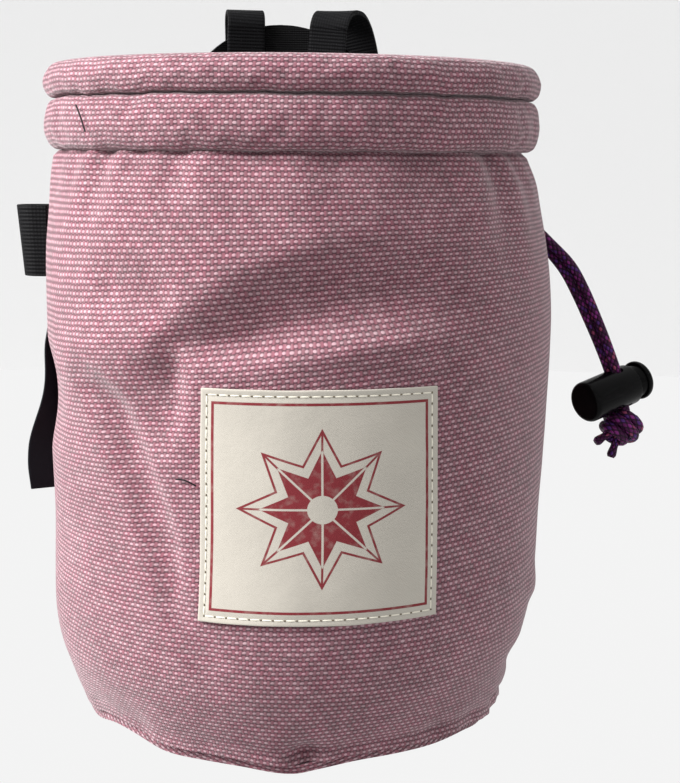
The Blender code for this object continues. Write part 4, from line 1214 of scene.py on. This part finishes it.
def make_base(finish):
    def point(azimuth, along):
        out = min(along / 0.82, 1.0)
        back = max(along - 0.88, 0.0) / 0.12
        radius = BASE_RADIUS * (0.02 + 0.98 * out - 0.30 * back)
        rise = BASE_THICKNESS * fade(along, 0.82, 0.88)
        return outward(azimuth) * radius + Vector((0, 0, rise + seam_rise(azimuth, radius, 0.0)))

    disc = cloth_tube("base_panel", 180, 40, point,
                      lambda turn, along: (BASE_RADIUS * along * math.sin(2 * math.pi * turn),
                                           BASE_RADIUS * along * math.cos(2 * math.pi * turn)))
    deselect()
    bpy.context.view_layer.objects.active = disc
    disc.select_set(True)
    bpy.ops.object.mode_set(mode="EDIT")
    bpy.ops.mesh.select_all(action="DESELECT")
    bpy.ops.mesh.select_non_manifold()
    bpy.ops.mesh.edge_face_add()
    bpy.ops.object.mode_set(mode="OBJECT")
    mend_normals(disc)
    return dress(disc, finish, "bag", ["base_disc"])


def make_lining(finish):
    floor = BASE_THICKNESS + GAP
    top = 0.1517
    rows = ((0.0, 0.02, 0.0), (0.12, 0.6, 0.0), (0.22, 0.97, 0.0), (0.26, 1.08, 0.03), (0.32, 1.12, 0.12),
            (0.45, 1.136, 0.30), (0.65, 1.136, 0.60), (0.85, 1.12, 0.85), (1.0, 1.136, 1.0))

    def point(azimuth, along):
        share, rise = smooth_row(rows, along)
        radius = 0.044 * share
        height = floor + rise * (top - floor)
        spot = outward(azimuth) * radius + Vector((0, 0, height))
        radius -= fade(radius, 0.035, 0.044) * (0.0008 + 0.0007 * ripple(spot, 0.02, 7.0))
        if height < WALL_HEIGHT:
            spare = wall_radius(azimuth, height) - WALL_THICKNESS - 3.4 * MM
            radius = min(radius, spare)
        height += seam_rise(azimuth, radius, height)
        return outward(azimuth) * radius + Vector((ROLL_SHIFT, 0, height))

    cup = cloth_tube("fleece_lining", 180, 70, point,
                     lambda turn, along: (turn * 2 * math.pi * 0.05, along * 0.19))
    thicken(cup, 0.0012, 1.0)
    mend_normals(cup)
    return dress(cup, finish, "bag", ["lining"])


def make_patch(finish, thread, hole_shade_finish):
    def point(across, along):
        height = PATCH_BOTTOM + PATCH_HEIGHT * along
        width = PATCH_WIDTH + (0.0010 + (PATCH_FLARE + 0.0006) * (1 - along))
        half = math.degrees(width / 2 / wall_radius(PATCH_AZIMUTH, height))
        edge = min(across, 1 - across, along, 1 - along)
        azimuth = PATCH_AZIMUTH + 0.25 - 0.70 * along + half * (2 * across - 1)
        spot = place(azimuth, BODY_RADIUS, height)
        azimuth += 0.10 * ripple(spot, 0.006, 11.0) * (1 - fade(edge, 0.0, 0.04))
        height += 0.10 * MM * ripple(spot, 0.006, 12.0) * (1 - fade(edge, 0.0, 0.04))
        radius = wall_radius(azimuth, height) + GAP + 0.75 * PATCH_THICKNESS
        stitched = math.exp(-((edge - 0.028) / 0.012) ** 2)
        radius += 0.10 * MM * ripple(spot, 0.007, 13.0) - 0.16 * MM * stitched
        return place(azimuth, radius, height)

    patch = cloth_strip("sewn_patch", 110, 110, point,
                        lambda across, along: ((across - 0.5) * PATCH_WIDTH, (along - 0.5) * PATCH_HEIGHT))
    thicken(patch, 0.0006, -1.0, 0.00015, 2)
    mend_normals(patch)
    dress(patch, finish, "bag", ["front_label"])
    stitches = []
    inset = 0.0013
    pitch = 0.00235

    def spot_on(x, y):
        return point(x / PATCH_WIDTH + 0.5, y / PATCH_HEIGHT + 0.5)

    side, tall = PATCH_WIDTH / 2 - inset, PATCH_HEIGHT / 2 - inset
    runs = (((-side, tall), (side, tall)), ((side, tall), (side, -tall)), ((side, -tall), (-side, -tall)),
            ((-side, -tall), (-side, tall)))
    for start, end in runs:
        length = math.hypot(end[0] - start[0], end[1] - start[1])
        count = round(length / pitch)
        for number in range(count):
            path = []
            for step in range(7):
                share = (number + 0.12 + 0.76 * step / 6) / count
                x = start[0] + (end[0] - start[0]) * share
                y = start[1] + (end[1] - start[1]) * share
                spot = spot_on(x, y)
                lift = (0.13 * math.sin(math.pi * step / 6) - 0.10) * MM
                flat = Vector((spot.x, spot.y, 0)).normalized()
                path.append(spot + flat * lift)
            stitches.append(cord_tube("stitch", path, 0.00016, 6))
    made = join("patch_stitches", stitches)
    dress(made, thread, "bag", [])
    # Dark dashes at each stitch: painted shade in the needle holes, laid on the patch's face
    holes = []
    for start, end in runs:
        length = math.hypot(end[0] - start[0], end[1] - start[1])
        count = round(length / pitch)
        for number in range(count):
            x = start[0] + (end[0] - start[0]) * number / count
            y = start[1] + (end[1] - start[1]) * number / count
            spot = spot_on(x, y)
            flat = Vector((spot.x, spot.y, 0)).normalized()
            along = sideways(PATCH_AZIMUTH) if start[1] == end[1] else Vector((0, 0, 1))
            path = [spot + along * (step * 0.1 - 0.2) * MM + flat * (0.02 - 0.02 * abs(step - 2)) * MM
                    for step in range(5)]
            holes.append(cord_tube("needle_hole", path, 0.00017, 6))
    hole_shade_dashes = join("needle_hole_shades", holes)
    dress(hole_shade_dashes, hole_shade_finish, "bag", [])
    return patch


def make_brush_loop(finish):
    bend = (BRUSH_LOOP_GAP + BRUSH_WEBBING_THICKNESS) / 2
    height = BRUSH_LOOP_BOTTOM + BRUSH_WEBBING_WIDTH / 2
    seat = 0.0605
    straight = BRUSH_LOOP_REACH - GAP - bend - BRUSH_WEBBING_THICKNESS / 2
    out = outward(BRUSH_AZIMUTH)
    side = sideways(BRUSH_AZIMUTH)
    arc = math.pi * bend
    total = 2 * straight + arc

    def point(across, along):
        run = along * total
        if run < straight:
            away, over = run, -bend
        elif run > straight + arc:
            away, over = total - run, bend
        else:
            angle = math.pi * ((run - straight) / arc - 0.5)
            away, over = straight + bend * math.cos(angle), bend * math.sin(angle)
        lean = BRUSH_LOOP_LEAN * across * away / straight
        spot = place(BRUSH_AZIMUTH, seat + lean, height)
        spot.z = BRUSH_LOOP_BOTTOM + across * BRUSH_WEBBING_WIDTH
        return spot + out * away + side * over

    loop = cloth_strip("brush_webbing", 30, 60, point,
                       lambda across, along: (along * total, across * BRUSH_WEBBING_WIDTH))
    thicken(loop, BRUSH_WEBBING_THICKNESS - 0.0001, 0.0, 0.0004, 3)
    mend_normals(loop)
    return dress(loop, finish, "bag", ["brush_loop"])


RIBBON_ROWS = (
    (0.00, -101.5, 0.05, -113.0), (0.12, -100.0, 0.11, -111.5), (0.24, -98.5, 0.24, -109.5),
    (0.38, -98.5, 0.44, -108.5), (0.56, -99.0, 0.68, -107.5), (0.74, -99.5, 0.90, -106.5),
    (0.88, -99.5, 1.00, -106.0), (1.00, -99.5, 0.97, -106.0),
)


def make_ribbon(finish):
    def point(across, along):
        share = 1 - along
        front_azimuth, standoff, back_azimuth = smooth_row(RIBBON_ROWS, share)
        height = BRUSH_LOOP_BOTTOM - GAP - share * RIBBON_LENGTH
        back = place(back_azimuth, wall_radius(back_azimuth, height) + GAP + 0.0004, height)
        front_radius = wall_radius(front_azimuth, height) + GAP + standoff * RIBBON_STANDOFF
        front = place(front_azimuth, front_radius, height)
        spot = back.lerp(front, across)
        azimuth = back_azimuth + (front_azimuth - back_azimuth) * across
        seat = place(azimuth, wall_radius(azimuth, height) + GAP + 0.0004, height)
        outside = (seat - spot).dot(outward(azimuth))
        if outside > 0.0:
            spot += outward(azimuth) * outside
        spot += outward(azimuth) * 0.0003 * math.sin(9 * along) * across
        return spot

    ribbon = cloth_strip("side_ribbon", 24, 80, point,
                         lambda across, along: (across * RIBBON_WIDTH, along * RIBBON_LENGTH))
    thicken(ribbon, 0.0005, 0.0, 0.0001, 1)
    mend_normals(ribbon)
    dress(ribbon, finish, "bag", ["side_label"])
    return ribbon


LOOP_ROUTE = (
    (0.0, 0.00, 0.00, 0.00), (0.0, 0.00, 0.30, 0.02), (0.0, 0.00, 0.60, 0.10), (0.0, 0.00, 0.88, 0.22),
    (0.0, 0.00, 0.95, 0.28), (0.35, 0.06, 0.99, 0.38), (0.7, 0.26, 1.00, 0.50), (1.0, 0.48, 0.975, 0.66),
    (1.0, 0.66, 0.90, 0.82), (1.0, 0.76, 0.77, 0.94), (1.0, 0.72, 0.55, 1.00), (1.0, 0.48, 0.32, 1.00),
    (1.0, 0.17, 0.14, 1.00), (1.0, 0.03, 0.06, 1.00), (1.0, 0.01, 0.00, 1.00),
)


def make_belt_loop(name, node, azimuth, skew, finish):
    front_seat = BELT_LEG_SEAT + BELT_WEBBING_THICKNESS / 2
    rear_seat = TAB_SEAT + TAB_THICKNESS + GAP + BELT_WEBBING_THICKNESS / 2
    rise = BELT_LOOP_TOP - BELT_WEBBING_THICKNESS / 2 - BELT_LOOP_BOTTOM
    points = []
    turns = []
    for blend, bulge, up, turn in LOOP_ROUTE:
        radius = front_seat + blend * (rear_seat - front_seat) + bulge * BELT_LOOP_SPREAD
        spot = outward(azimuth + skew * turn) * radius + Vector((ROLL_SHIFT, 0, 0))
        spot.z = BELT_LOOP_BOTTOM + rise * up
        points.append(spot)
        turns.append(Vector((azimuth + skew * turn, 0, 0)))
    path = smooth_path(points, 8)
    turned_path = smooth_path(turns, 8)
    lengths = [0.0]
    for start, end in zip(path, path[1:]):
        lengths.append(lengths[-1] + (end - start).length)
    last = len(path) - 1

    def point(across, along):
        index = int(round(along * last))
        way = (path[min(index + 1, last)] - path[max(index - 1, 0)]).normalized()
        side = sideways(turned_path[index].x)
        side = (side - way * side.dot(way)).normalized()
        return path[index] + side * BELT_WEBBING_WIDTH * (across - 0.5)

    loop = cloth_strip(name, 10, last, point,
                       lambda across, along: (across * BELT_WEBBING_WIDTH, lengths[int(round(along * last))]))
    thicken(loop, BELT_WEBBING_THICKNESS - 0.0001, 0.0, 0.0004, 2)
    mend_normals(loop)
    return dress(loop, finish, "bag", [node])


def make_tab(finish):
    centre = TAB_TOP - TAB_RADIUS
    straight = centre - TAB_BOTTOM
    arc = TAB_RADIUS * math.pi / 2
    turn_in = BELT_LOOP_BOTTOM - 0.25 * (BELT_LOOP_BOTTOM - TAB_BOTTOM)

    def level(along):
        run = along * (straight + arc)
        if run < straight:
            return TAB_BOTTOM + run, TAB_RADIUS
        angle = min((run - straight) / TAB_RADIUS, math.radians(89))
        return centre + TAB_RADIUS * math.sin(angle), TAB_RADIUS * math.cos(angle)

    def point(across, along):
        height, half_width = level(along)
        azimuth = TAB_AZIMUTH + math.degrees(half_width / TAB_SEAT) * (2 * across - 1)
        wall = section(min(height, WALL_HEIGHT))[0] + GAP + 0.0004
        lift = fade(height, turn_in, BELT_LOOP_BOTTOM - GAP)
        radius = wall + (TAB_SEAT - wall) * lift + TAB_THICKNESS / 2
        return outward(azimuth) * radius + Vector((ROLL_SHIFT, 0, height))

    tab = cloth_strip("half_moon_tab", 48, 90, point,
                      lambda across, along: ((across - 0.5) * 2 * level(along)[1], level(along)[0]))
    thicken(tab, TAB_THICKNESS - 0.0002, 0.0, 0.0005, 3)
    mend_normals(tab)
    return dress(tab, finish, "bag", ["back_tab"])


def make_loose_threads(finish):
    """Two loose ends of dark sewing thread, one on the lower roll and one left of the patch."""
    ends = []
    for azimuth, height, drop, turn in ((-52.0, 0.1445, 0.0056, 3.4), (-25.5, 0.0672, 0.0010, 4.4)):
        path = []
        for step in range(13):
            share = step / 12
            at = azimuth + turn * share
            level = height - drop * share + 0.0004 * math.sin(math.pi * share)
            if height > WALL_HEIGHT:
                spot = outward(at) * (ROLL_RADIUS + 0.7 * MM) + Vector((ROLL_SHIFT, 0, level))
            else:
                spot = place(at, wall_radius(at, level) + 0.7 * MM, level)
            path.append(spot)
        ends.append(cord_tube("thread_end", path, 0.00018, 6))
    made = join("loose_threads", ends)
    return dress(made, finish, "bag", [])


def make_eyelet(finish):
    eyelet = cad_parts["cord_eyelet"]
    eyelet.data.materials.clear()
    eyelet.data.materials.append(finish)


# The whole scene
make_camera()
make_light(make_stage())

weave = woven_finish("oxford_weave", 0.00160, 0.00112, "#a4838b", "#7c4f59", "#51323b", 0.00015, (0.30, 0.31))
fleece = fleece_finish()
webbing = webbing_finish("polypropylene_webbing", 0.0009, "#040405", "#0d0d0f")
facing = webbing_finish("black_nylon_facing", 0.0006, "#030304", "#060607")
satin = satin_finish()
braid = cord_finish()
nylon = plastic_finish()
brass = eyelet_finish()
twill = patch_finish()
cream_thread = thread_finish("cream_sewing_thread", "#e4dfd0")

knot = make_knot(braid)
barrel, plunger = make_lock(nylon)
make_cord(braid, barrel, plunger)
make_wall(weave)
seam = WALL_HEIGHT + LOWER_ROLL_HEIGHT
make_roll("lower_roll", LOWER_ROLL_SECTION, WALL_HEIGHT + GAP / 2, LOWER_ROLL_HEIGHT - GAP, weave,
          "rim_lower_roll", 20.0)
make_roll("top_roll", TOP_ROLL_SECTION, seam + GAP / 2, TOP_ROLL_HEIGHT - GAP / 2, weave,
          "rim_top_roll", 30.0)
make_base(weave)
make_lining(fleece)
# The needle holes' darker finish is painted shade in the holes
make_patch(twill, cream_thread, thread_finish("shaded_needle_hole", "#6a6152"))
make_brush_loop(webbing)
make_ribbon(satin)
make_belt_loop("belt_webbing_left", "belt_loop_left", 192.6, -2.0, webbing)
make_belt_loop("belt_webbing_right", "belt_loop_right", 173.0, -8.6, webbing)
make_tab(facing)
make_eyelet(brass)
make_loose_threads(thread_finish("dark_sewing_thread", "#140d12"))
